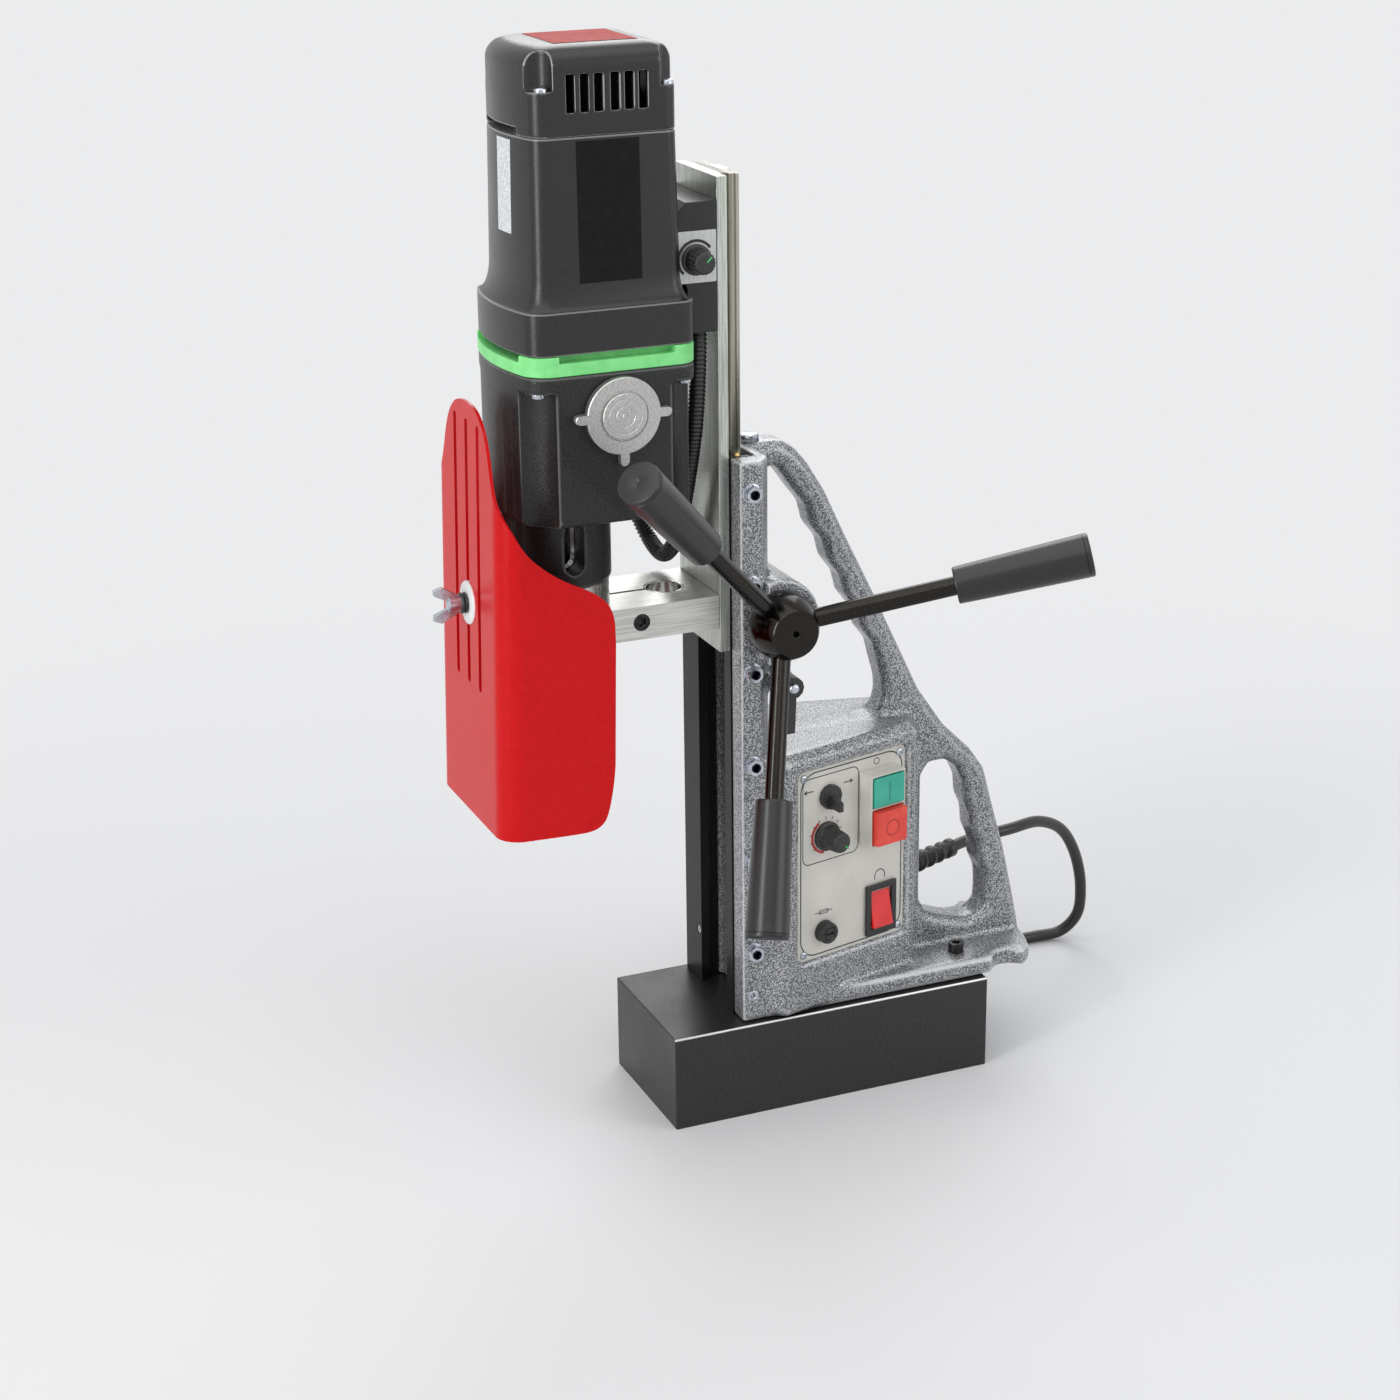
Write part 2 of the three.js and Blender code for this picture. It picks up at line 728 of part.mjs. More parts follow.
function bossSolids() {
  const centre = [FEED.axisY, FEED.axisZ];
  const near = rod("x", BOSS.radius, centre, -CHANNEL.half, BOSS.face);
  const front = block(
    [-COLUMN.halfWidth, COLUMN.front - BOSS.radius, FOOT],
    [BOSS.face + OVERRUN, BOSS.frontLimit, COLUMN.top],
  );
  const far = rod("x", BOSS.farRadius, centre, BOSS.farFace, -CHANNEL.half);
  return [cut(near, front), cut(far, front), rod("x", LOCK.lugRadius, [LOCK.y, LOCK.z], 0, LOCK.lugFace)];
}

function panelCutters() {
  const { width, height, thickness } = PANEL;
  const seat = block(
    [-thickness - GAP, -GAP, -GAP],
    [RIM.proud + OVERRUN, width + GAP, height + GAP],
  );
  const room = block(
    [-CAVITY.depth, CAVITY.inset, CAVITY.inset],
    [OVERRUN, width - CAVITY.inset, height - CAVITY.inset],
  );
  return [onPanel(seat), onPanel(room)];
}

function glandPlace() {
  const rear = panelPoint(RIM.proud, PANEL.width + RIM.rear);
  const slope = (HOUSING.rearY - rear[1]) / rear[0];
  return {
    point: [GLAND.x, HOUSING.rearY - slope * Math.abs(GLAND.x), GLAND.z],
    direction: vec(-slope, 1, 0).normalize(),
  };
}

function castingCutters() {
  const centre = [FEED.axisY, FEED.axisZ];
  const { point, direction } = glandPlace();
  const glandDepth = GLAND.stemLength + 2 * HANDLE.half;
  const glandHole = turned([
    [0, -glandDepth],
    [GLAND.stem + GAP, -glandDepth],
    [GLAND.stem + GAP, OVERRUN],
    [0, OVERRUN],
  ]);
  const footHoles = [-1, 1].map((side) =>
    rod(
      "z",
      FOOT_BOLT.shank + GAP,
      [side * FOOT_BOLT.x, FOOT_BOLT.y],
      FOOT - OVERRUN,
      FOOT + FLANGE.thickness + OVERRUN,
      SCREW_SIDES,
    ),
  );
  const gibHoles = GIB_SCREW_HEIGHTS.map((z) =>
    rod(
      "x",
      GIB_SCREW.radius + GAP,
      [GIB_SCREW.y, z],
      CHANNEL.half - OVERRUN,
      COLUMN.halfWidth + OVERRUN,
      SCREW_SIDES,
    ),
  );
  const topHole = rod(
    "z",
    TOP_BOLT.shank + GAP,
    [0, TOP_BOLT.y],
    COLUMN.top - TOP_BOLT.depth,
    HANDLE_TOP + OVERRUN,
    SCREW_SIDES,
  );
  const topFlat = rod(
    "z",
    TOP_BOLT.head + GAP,
    [0, TOP_BOLT.y],
    COLUMN.top,
    HANDLE_TOP + OVERRUN,
    SMALL_SIDES,
  );
  const bushBore = rod(
    "x",
    SHAFT.radius + BUSH.wall + GAP,
    centre,
    BOSS.face - BUSH.length,
    BOSS.face + OVERRUN,
  );
  const shaftBore = rod("x", SHAFT.radius + GAP, centre, SHAFT.farEnd - GAP, BOSS.face + OVERRUN);
  const lockHole = rod(
    "x",
    LOCK.stud + GAP,
    [LOCK.y, LOCK.z],
    LOCK.lugFace - LOCK.studLength,
    LOCK.lugFace + OVERRUN,
    SMALL_SIDES,
  );
  const channel = block(
    [-SLIDE.dovetailBackHalf - SLIDE_RUNNING_GAP, COLUMN.front - OVERRUN, FOOT - OVERRUN],
    [CHANNEL.half, CHANNEL.back, COLUMN.top + OVERRUN],
  );
  return [
    channel,
    ...panelCutters(),
    rod("x", CHAMBER.radius, centre, -CHAMBER.half, CHAMBER.half),
    bushBore,
    shaftBore,
    lockHole,
    toSolid(aimed(glandHole, point, direction)),
    topHole,
    topFlat,
    ...footHoles,
    ...gibHoles,
  ];
}

function buildCasting() {
  const body = join(columnSolid(), flangeSolid(), housingSolid(), handleSolid(), ...bossSolids());
  return piece("stand_casting", cut(body, ...castingCutters()), "hammered_grey");
}

// Ways of the dovetail: the steel way on the far side and the brass gib on the near side

function wayOutline(outer, back) {
  const shoulder = SLIDE.dovetailFrontHalf + SLIDE_RUNNING_GAP;
  const heel = SLIDE.dovetailBackHalf + SLIDE_RUNNING_GAP;
  return [
    [shoulder, SLIDE_BACK + SLIDE_RUNNING_GAP],
    [outer, SLIDE_BACK + SLIDE_RUNNING_GAP],
    [outer, back],
    [heel + GAP, back],
    [heel + GAP, DOVETAIL_BACK],
    [heel, DOVETAIL_BACK],
  ];
}

function buildWays() {
  const top = COLUMN.top - GAP;
  const way = mirrored(wayOutline(COLUMN.halfWidth, CHANNEL.flatEnd - GAP));
  const gib = wayOutline(CHANNEL.half - GAP, FEED.axisY - SHAFT.radius - GAP);
  return [
    piece("fixed_way", prism("z", way, FOOT, top), "dark_steel"),
    piece("gib_strip", prism("z", gib, FOOT, top), "dark_steel"),
  ];
}

function gibScrew(z) {
  const at = [GIB_SCREW.y, z];
  const tip = CHANNEL.half;
  const nutSeat = COLUMN.halfWidth + GAP;
  const stud = rod("x", GIB_SCREW.radius, at, tip, tip + GIB_SCREW.length, SCREW_SIDES);
  const nut = prism("x", circle(GIB_SCREW.nutRadius, at, 6), nutSeat, nutSeat + GIB_SCREW.nutHeight);
  const end = tip + GIB_SCREW.length;
  const socket = prism("x", circle(GIB_SCREW.socket, at, 6), end - GIB_SCREW.socketDepth, end + OVERRUN);
  return cut(join(stud, nut), socket);
}

function buildStandFasteners() {
  const gibScrews = GIB_SCREW_HEIGHTS.map((z, i) => piece(`gib_screw_${i + 1}`, gibScrew(z), "zinc"));
  const seat = FOOT + FLANGE.thickness + GAP;
  const footBolts = [
    ["foot_bolt_near", 1],
    ["foot_bolt_far", -1],
  ].map(([name, side]) => {
    const at = [side * FOOT_BOLT.x, FOOT_BOLT.y];
    const shank = rod("z", FOOT_BOLT.shank, at, seat - FOOT_BOLT.depth, seat, SCREW_SIDES);
    const head = rod("z", FOOT_BOLT.head, at, seat, seat + FOOT_BOLT.height, SMALL_SIDES);
    const top = seat + FOOT_BOLT.height;
    const socket = prism("z", circle(FOOT_BOLT.socket, at, 6), top - FOOT_BOLT.socketDepth, top + OVERRUN);
    return piece(name, cut(join(shank, head), socket), "blackened");
  });
  const top = COLUMN.top + GAP;
  const bolt = join(
    rod("z", TOP_BOLT.shank, [0, TOP_BOLT.y], top - TOP_BOLT.depth + GAP, top, SCREW_SIDES),
    prism("z", circle(TOP_BOLT.head, [0, TOP_BOLT.y], 6), top, top + TOP_BOLT.height),
  );
  return [...gibScrews, ...footBolts, piece("top_bolt", bolt, "zinc")];
}

// Control panel and its controls, in the panel's frame: x out, y across, z up

function panelPlate() {
  const { width, height, thickness } = PANEL;
  const sheet = block([-thickness, 0, 0], [0, width, height]);
  const round = ({ across, up }, radius) =>
    rod("x", radius + GAP, [across, up], -thickness - OVERRUN, OVERRUN, SMALL_SIDES);
  const rockerHole = block(
    [-thickness - OVERRUN, ROCKER.across + ROCKER.rim - GAP, ROCKER.up + ROCKER.rim - GAP],
    [OVERRUN, ROCKER.across + ROCKER.width - ROCKER.rim + GAP, ROCKER.up + ROCKER.height - ROCKER.rim + GAP],
  );
  return cut(
    sheet,
    round(SELECTOR, PANEL_SHAFT.radius),
    round(SPEED, PANEL_SHAFT.radius),
    round(FUSE, FUSE.bodyRadius),
    rockerHole,
  );
}

function pushBox() {
  const { across, up, width, height, depth, rim, pocket } = PUSH_BOX;
  const body = block([GAP, across, up], [depth, across + width, up + height]);
  const split = up + BUTTON.split;
  const well = (low, high) =>
    block([depth - pocket, across + rim, low], [depth + OVERRUN, across + width - rim, high]);
  return cut(body, well(up + rim, split - rim / 2), well(split + rim / 2, up + height - rim));
}

function pushButton(isStart) {
  const { across, up, width, height, depth, rim, pocket } = PUSH_BOX;
  const split = up + BUTTON.split;
  const low = isStart ? split + rim / 2 : up + rim;
  const high = isStart ? up + height - rim : split - rim / 2;
  const proud = isStart ? BUTTON.startProud : BUTTON.stopProud;
  const { slack, travel } = BUTTON;
  return block(
    [depth - pocket + travel + GAP, across + rim + slack, low + slack],
    [depth + proud, across + width - rim - slack, high - slack],
  );
}

function rockerBezel() {
  const { across, up, width, height, rim, proud, deep } = ROCKER;
  const collar = block([GAP, across, up], [proud, across + width, up + height]);
  const body = block([-deep, across + rim, up + rim], [GAP, across + width - rim, up + height - rim]);
  const well = block(
    [-deep + rim, across + 2 * rim, up + 2 * rim],
    [proud + OVERRUN, across + width - 2 * rim, up + height - 2 * rim],
  );
  return cut(join(collar, body), well);
}

// The rocker is drawn about its pivot, which lies at the panel's face in the middle of the bezel
function rockerShape() {
  const { width, height, rim, deep } = ROCKER;
  const halfWidth = width / 2 - 2 * rim - GAP;
  const halfHeight = height / 2 - 2 * rim - 2 * GAP;
  const crest = ROCKER.proud;
  const outline = [
    [-deep / 2, 0],
    [-deep / 4, -halfHeight / 2],
    [-GAP, -halfHeight],
    [crest, -halfHeight],
    [crest - GAP, 0],
    [crest, halfHeight],
    [-GAP, halfHeight],
    [-deep / 4, halfHeight / 2],
  ];
  return prism("y", outline, -halfWidth, halfWidth);
}

function selectorShape() {
  const { radius, skirt, paddleThick, paddleEnd } = SELECTOR;
  const paddle = PADDLE_SHARES.map(([out, up]) => [out * paddleEnd, up * radius]);
  return join(
    rod("x", radius, [0, 0], GAP, skirt, SMALL_SIDES),
    rod("x", PANEL_SHAFT.radius, [0, 0], -PANEL_SHAFT.length, skirt, SMALL_SIDES),
    prism("y", paddle, -paddleThick / 2, paddleThick / 2),
  );
}

function speedShape() {
  const { skirtRadius, skirt, radius, height } = SPEED;
  const knob = turned([
    [0, GAP],
    [skirtRadius, GAP],
    [skirtRadius, skirt],
    [radius, skirt + GAP],
    [radius - GAP, height],
    [0, height],
  ]);
  const shaft = rod("x", PANEL_SHAFT.radius, [0, 0], -PANEL_SHAFT.length, skirt, SMALL_SIDES);
  return join(toSolid(aimed(knob, [0, 0, 0], vec(1, 0, 0))), shaft);
}

function fuseShape() {
  return join(
    rod("x", FUSE.radius, [0, 0], GAP, FUSE.height, SMALL_SIDES),
    rod("x", FUSE.bodyRadius, [0, 0], -FUSE.bodyLength, FUSE.height / 2, SMALL_SIDES),
  );
}

function circuitBoard() {
  const back = -CAVITY.depth + GAP;
  const face = back + BOARD.standoff;
  const { across, up, width, thickness, standoffRadius } = BOARD;
  const height = BOARD_HEIGHT;
  const sheet = block([face, across, up], [face + thickness, across + width, up + height]);
  const margin = 2 * standoffRadius;
  const standoffs = [across + margin, across + width - margin].flatMap((y) =>
    [up + margin, up + height - margin].map(
      (z) => rod("x", standoffRadius, [y, z], back, face + thickness, SCREW_SIDES)
    ),
  );
  const part = COMPONENT;
  const component = block(
    [face + thickness / 2, across + part.across, up + part.up],
    [face + part.depth, across + part.across + part.width, up + part.up + part.height],
  );
  return join(sheet, ...standoffs, component);
}

function buildPanel() {
  const frame = panelFrame();
  const placed = (mesh, { across, up }) => {
    mesh.position.set(0, across, up);
    return mesh;
  };
  const rockerCentre = { across: ROCKER.across + ROCKER.width / 2, up: ROCKER.up + ROCKER.height / 2 };
  const rocker = placed(piece("magnet_rocker", rockerShape(), "coral"), rockerCentre);
  rocker.rotation.y = -ROCKER.tilt;
  frame.add(
    piece("control_panel", panelPlate(), "cream"),
    piece("push_button_box", pushBox(), "cream"),
    piece("start_button", pushButton(true), "teal"),
    piece("stop_button", pushButton(false), "coral"),
    piece("rocker_bezel", rockerBezel(), "black_plastic"),
    rocker,
    placed(piece("selector_knob", selectorShape(), "black_plastic"), SELECTOR),
    placed(piece("speed_knob", speedShape(), "black_plastic"), SPEED),
    placed(piece("fuse_cap", fuseShape(), "black_plastic"), FUSE),
    piece("circuit_board", circuitBoard(), "board"),
  );
  return frame;
}

// Strain relief, cord, coil and plug

function glandGeometry() {
  const { stem, stemLength, flange, flangeLength, length, root, tip } = GLAND;
  const profile = [
    [0, -stemLength],
    [stem, -stemLength],
    [stem, GAP],
    [flange, GAP],
    [flange, flangeLength],
  ];
  const ribbed = length - flangeLength;
  for (let i = 0; i < GLAND_RIBS; i += 1) {
    const crest = root + (tip - root) * (i / GLAND_RIBS);
    const start = flangeLength + (ribbed * i) / GLAND_RIBS;
    const third = ribbed / GLAND_RIBS / 3;
    profile.push([crest * GLAND_WAIST_SHARE, start], [crest * GLAND_WAIST_SHARE, start + third]);
    profile.push([crest, start + third + GAP], [crest, start + 3 * third - GAP]);
  }
  profile.push([tip * GLAND_WAIST_SHARE, length], [0, length]);
  return turned(profile, [0, 0], SMALL_SIDES - 2);
}

// Rings square to a path, carried along it without twist
function tubeRings(path, radiusAt, sides) {
  const centres = path.map(([x, y, z]) => vec(x, y, z));
  const tangents = centres.map((_, i) => {
    const before = centres[Math.max(i - 1, 0)];
    const after = centres[Math.min(i + 1, centres.length - 1)];
    return after.clone().sub(before).normalize();
  });
  const side = vec(1, 0, 0);
  if (Math.abs(tangents[0].x) > Math.SQRT1_2) side.set(0, 0, 1);
  return centres.map((centre, i) => {
    side.addScaledVector(tangents[i], -side.dot(tangents[i])).normalize();
    const other = tangents[i].clone().cross(side);
    const ring = [];
    for (let k = 0; k < sides; k += 1) {
      const angle = (2 * Math.PI * k) / sides;
      const point = centre
        .clone()
        .addScaledVector(side, radiusAt(i) * Math.cos(angle))
        .addScaledVector(other, radiusAt(i) * Math.sin(angle));
      ring.push([point.x, point.y, point.z]);
    }
    return ring;
  });
}

// Least gap between parts of a tube that are further apart along it than a few diameters
function leastGap(path, radius) {
  const spread = 6 * radius;
  let along = 0;
  const run = path.map((point, i) => {
    if (i > 0) along += Math.hypot(...point.map((value, k) => value - path[i - 1][k]));
    return along;
  });
  let least = Infinity;
  for (let i = 0; i < path.length; i += 1) {
    for (let j = i + 1; j < path.length; j += 1) {
      if (run[j] - run[i] < spread) continue;
      least = Math.min(least, Math.hypot(...path[i].map((value, k) => value - path[j][k])) - 2 * radius);
    }
  }
  return least;
}

// The coil's path: layers of spiral turns, in and out again, climbing a layer in the half turn where
// the spiral reverses, then a straight tail that comes down to the plug
function windPath() {
  const { x, y, inner, pitch, layers, turns, tail, straight } = WIND;
  const outer = inner + pitch * turns;
  const path = [];
  const start = [x + outer, y];
  path.push([start[0], start[1] + straight, CORD.floor]);
  const steps = layers * turns * WIND_STEPS;
  for (let i = 0; i <= steps; i += 1) {
    const turn = i / WIND_STEPS;
    const layer = Math.min(Math.floor(turn / turns), layers - 1);
    const within = turn - layer * turns;
    const radius = layer % 2 === 0 ? outer - pitch * within : inner + pitch * within;
    const nearest = Math.round(turn / turns);
    const offset = turn - nearest * turns;
    const climbing = nearest > 0 && nearest < layers && Math.abs(offset) < 1 / 4;
    const level = climbing ? nearest - 1 / 2 + 2 * offset : layer;
    const angle = -2 * Math.PI * turn;
    path.push([x + radius * Math.cos(angle), y + radius * Math.sin(angle), CORD.floor + pitch * level]);
  }
  const top = CORD.floor + pitch * (layers - 1);
  const bottom = PLUG.height / 2;
  const tailSteps = 8;
  for (let i = 1; i <= tailSteps; i += 1) {
    const share = i / tailSteps;
    const drop = (1 - Math.cos(Math.PI * share)) / 2;
    path.push([start[0], start[1] - tail * share, top - (top - bottom) * drop]);
  }
  path.push([start[0], start[1] - tail - straight, bottom]);
  return path;
}

function plugSolid() {
  const { width, length, height, bevel, pinWidth, pinThick, pinLength } = PLUG;
  const x = WIND.x + WIND.inner + WIND.pitch * WIND.turns;
  const end = WIND.y - WIND.tail - WIND.straight - GAP;
  const waist = 2 * CORD.radius;
  const outline = [
    [x - waist, end],
    [x - width / 2, end - waist],
    [x - width / 2, end - length],
    [x + width / 2, end - length],
    [x + width / 2, end - waist],
    [x + waist, end],
  ];
  const body = prism("z", outline, 0, height, { bevel });
  const pin = (px, py, across, along) =>
    block(
      [px - across / 2, py - along / 2, height - bevel],
      [px + across / 2, py + along / 2, height + pinLength],
    );
  const middle = end - (length + waist) / 2;
  const { liveSpread, liveUp, earthUp } = PLUG_PINS;
  return join(
    body,
    pin(x - liveSpread, middle + liveUp, pinWidth, pinThick),
    pin(x + liveSpread, middle + liveUp, pinWidth, pinThick),
    pin(x, middle - earthUp, pinThick, pinWidth),
  );
}

function cordGeometry(start, direction) {
  const first = start.map((value, i) => value + direction.getComponent(i) * CORD_LEAD);
  const endX = WIND.x + WIND.inner + WIND.pitch * WIND.turns;
  const endY = WIND.y + WIND.straight + GAP;
  const run = [
    start,
    first,
    ...CORD_RUN,
    [endX, endY + 2 * CORD_LEAD, CORD.floor],
    [endX, endY + CORD_LEAD, CORD.floor],
    [endX, endY, CORD.floor],
  ];
  const extrudePath = new THREE.CatmullRomCurve3(run.map(([x, y, z]) => vec(x, y, z)), false, "centripetal");
  const section = new THREE.Shape(
    circle(CORD.radius, [0, 0], CORD.sides).map(([a, b]) => new THREE.Vector2(a, b))
  );
  return new THREE.ExtrudeGeometry(section, { steps: CORD.steps, bevelEnabled: false, extrudePath });
}

function buildCord() {
  const { point, direction } = glandPlace();
  const start = point.map((value, i) => value + direction.getComponent(i) * (GLAND.length + GAP));
  const path = windPath();
  console.log(`cord_coil least gap to itself: ${leastGap(path, CORD.radius).toFixed(2)} mm`);
  return [
    piece("cord_gland", aimed(glandGeometry(), point, direction), "black_plastic"),
    piece("mains_cord", cordGeometry(start, direction), "black_plastic"),
    piece("cord_coil", ringBody(tubeRings(path, () => CORD.radius, WIND_SIDES), true), "black_plastic"),
    piece("mains_plug", plugSolid(), "black_plastic"),
  ];
}

// Gears: straight teeth with flat flanks, thin enough to run with backlash

const TOOTH_SHARES = { root: 0.3, tip: 0.11 }; // half width of a tooth, as shares of its pitch
const ROOT_MODULES_SHARE = 1.25; // depth of a tooth's root below its pitch line, in modules
const TIP_MODULES_SHARE = 0.9; // height of a tooth's tip above its pitch line, in modules

function gearOutline(module, teeth, at, toothAngle) {
  const pitchRadius = (module * teeth) / 2;
  const rootRadius = pitchRadius - ROOT_MODULES_SHARE * module;
  const tipRadius = pitchRadius + TIP_MODULES_SHARE * module;
  const step = (2 * Math.PI) / teeth;
  const points = [];
  for (let i = 0; i < teeth; i += 1) {
    const centre = toothAngle + i * step;
    const corners = [
      [rootRadius, -TOOTH_SHARES.root],
      [tipRadius, -TOOTH_SHARES.tip],
      [tipRadius, TOOTH_SHARES.tip],
      [rootRadius, TOOTH_SHARES.root],
    ];
    for (const [radius, share] of corners) {
      const angle = centre + share * step;
      points.push([at[0] + radius * Math.cos(angle), at[1] + radius * Math.sin(angle)]);
    }
  }
  return points;
}

// Capstan

function pinionShaft() {
  const centre = [FEED.axisY, FEED.axisZ];
  const shaft = rod("x", SHAFT.radius, centre, SHAFT.farEnd, SHAFT.nearEnd);
  const toward = Math.PI; // a tooth points at the rack
  const teeth = prism(
    "x",
    gearOutline(FEED.module, FEED.teeth, centre, toward),
    -FEED.pinionHalf,
    FEED.pinionHalf,
  );
  const groove = ringRod(
    "x",
    centre,
    SHAFT.radius + FEED.module * FEED.teeth,
    PINION_RADIUS - 2 * FEED.module,
    FEED.pinionHalf,
  );
  return join(cut(shaft, groove), teeth);
}

// A ring about an axis, centred on it: it necks a shaft down between its ends
function ringRod(axis, at, outer, inner, half) {
  return cut(
    rod(axis, outer, at, -half - GAP, half + GAP),
    rod(axis, inner, at, -half - OVERRUN, half + OVERRUN),
  );
}

function spokeDirection(i) {
  const tilt = DEG(SPOKE.tiltDeg);
  const angle = DEG(SPOKE.firstDeg) - (i * 2 * Math.PI) / SPOKE.count;
  return vec(Math.sin(tilt), Math.cos(tilt) * Math.cos(angle), Math.cos(tilt) * Math.sin(angle));
}

const hubCentre = [HUB.spokeX, FEED.axisY, FEED.axisZ];

function hubSolid() {
  const { back, front, backRadius, frontRadius, centreHole } = HUB;
  const cone = turned([
    [0, back],
    [backRadius, back],
    [backRadius, back + OVERRUN],
    [frontRadius, front - GAP],
    [frontRadius - GAP, front],
    [0, front],
  ]);
  const body = toSolid(aimed(cone, [0, FEED.axisY, FEED.axisZ], vec(1, 0, 0)));
  const centre = [FEED.axisY, FEED.axisZ];
  const bore = rod("x", SHAFT.radius + GAP, centre, back - OVERRUN, SHAFT.nearEnd + GAP);
  const hole = rod("x", centreHole, centre, SHAFT.nearEnd, front + OVERRUN, SMALL_SIDES);
  const sockets = Array.from({ length: SPOKE.count }, (_, i) => {
    const profile = [
      [0, SPOKE.inner - GAP],
      [SPOKE.radius + GAP, SPOKE.inner - GAP],
      [SPOKE.radius + GAP, 2 * backRadius],
      [0, 2 * backRadius],
    ];
    const drill = turned(profile, [0, 0], SMALL_SIDES);
    return toSolid(aimed(drill, hubCentre, spokeDirection(i)));
  });
  return cut(body, bore, hole, ...sockets);
}

function spokeGeometry(i) {
  const { radius, inner, outer } = SPOKE;
  const bar = turned(
    [
      [0, inner],
      [radius, inner],
      [radius, outer],
      [0, outer],
    ],
    [0, 0],
    SMALL_SIDES,
  );
  return aimed(bar, hubCentre, spokeDirection(i));
}

function gripGeometry(i) {
  const { start, end, startRadius, endRadius, lip, cap, boreEnd } = GRIP;
  const bore = SPOKE.radius + GAP;
  const profile = [
    [0, boreEnd],
    [bore, boreEnd],
    [bore, start],
    [startRadius - lip, start],
    [startRadius, start + lip],
    [endRadius, end - cap],
    [endRadius - GAP, end - lip],
    [endRadius - 2 * lip, end],
    [0, end],
  ];
  return aimed(turned(profile, [0, 0], SMALL_SIDES), hubCentre, spokeDirection(i));
}

function bushGeometry() {
  const bore = SHAFT.radius + RUNNING;
  const profile = [
    [bore, BOSS.face - BUSH.length + GAP],
    [SHAFT.radius + BUSH.wall, BOSS.face - BUSH.length + GAP],
    [SHAFT.radius + BUSH.wall, BOSS.face - BUSH.lip],
    [bore, BOSS.face - BUSH.lip],
  ];
  return aimed(turned(profile), [0, FEED.axisY, FEED.axisZ], vec(1, 0, 0));
}

function buildCapstan() {
  const meshes = [
    piece("pinion_bush", bushGeometry(), "brass"),
    piece("pinion_shaft", pinionShaft(), "steel"),
    piece("capstan_hub", hubSolid(), "blackened"),
  ];
  for (let i = 0; i < SPOKE.count; i += 1) {
    meshes.push(piece(`spoke_${i + 1}`, spokeGeometry(i), "blackened"));
    meshes.push(piece(`spoke_grip_${i + 1}`, gripGeometry(i), "grip"));
  }
  return meshes;
}

function buildLockLever() {
  const at = [LOCK.y, LOCK.z];
  const seat = LOCK.lugFace + GAP;
  const { length, thick, rootWidth, tipWidth, setback } = LOCK_ARM;
  const arm = prism(
    "x",
    [
      [LOCK.y - rootWidth / 2, LOCK.z],
      [LOCK.y - tipWidth / 2, LOCK.z - length],
      [LOCK.y + tipWidth / 2, LOCK.z - length],
      [LOCK.y + rootWidth / 2, LOCK.z],
    ],
    LOCK.face - setback - thick,
    LOCK.face - setback,
  );
  const hub = rod("x", LOCK.hubRadius, at, seat, LOCK.face, SMALL_SIDES);
  const stud = rod("x", LOCK.stud, at, LOCK.lugFace - LOCK.studLength + GAP, seat, SMALL_SIDES);
  return piece("lock_lever", join(hub, stud, arm), "black_plastic");
}

// Carriage

function buildSlide() {
  const grooveHalf = FEED.rackHalf + GAP;
  const grooveFloor = DOVETAIL_BACK - FEED.rackGroove;
  const outline = [
    [-SLIDE.halfWidth, SLIDE.front],
    [SLIDE.halfWidth, SLIDE.front],
    [SLIDE.halfWidth, SLIDE_BACK],
    [SLIDE.dovetailFrontHalf, SLIDE_BACK],
    [SLIDE.dovetailBackHalf, DOVETAIL_BACK],
    [grooveHalf, DOVETAIL_BACK],
    [grooveHalf, grooveFloor],
    [-grooveHalf, grooveFloor],
    [-grooveHalf, DOVETAIL_BACK],
    [-SLIDE.dovetailBackHalf, DOVETAIL_BACK],
    [-SLIDE.dovetailFrontHalf, SLIDE_BACK],
    [-SLIDE.halfWidth, SLIDE_BACK],
  ];
  return piece("slide", prism("z", outline, SLIDE.bottom, SLIDE.top), "aluminium");
}

// The rack has a gap, not a tooth, at the height of the pinion's axis
function buildRack() {
  const pitch = Math.PI * FEED.module;
  const rootY = RACK_PITCH_Y - ROOT_MODULES_SHARE * FEED.module;
  const tipY = RACK_PITCH_Y + TIP_MODULES_SHARE * FEED.module;
  const backY = DOVETAIL_BACK - FEED.rackGroove + GAP;
  const flank = [
    [rootY, -TOOTH_SHARES.root],
    [tipY, -TOOTH_SHARES.tip],
    [tipY, TOOTH_SHARES.tip],
    [rootY, TOOTH_SHARES.root],
  ];
  const first = Math.ceil((SLIDE.bottom - FEED.axisZ) / pitch) + 1;
  const last = Math.floor((SLIDE.top - FEED.axisZ) / pitch) - 1;
  const outline = [
    [rootY, SLIDE.top],
    [backY, SLIDE.top],
    [backY, SLIDE.bottom],
    [rootY, SLIDE.bottom],
  ];
  for (let i = first; i <= last; i += 1) {
    const middle = FEED.axisZ + (i - 1 / 2) * pitch;
    for (const [y, share] of flank) outline.push([y, middle + share * pitch]);
  }
  return piece("rack", prism("x", outline, -FEED.rackHalf, FEED.rackHalf), "steel");
}

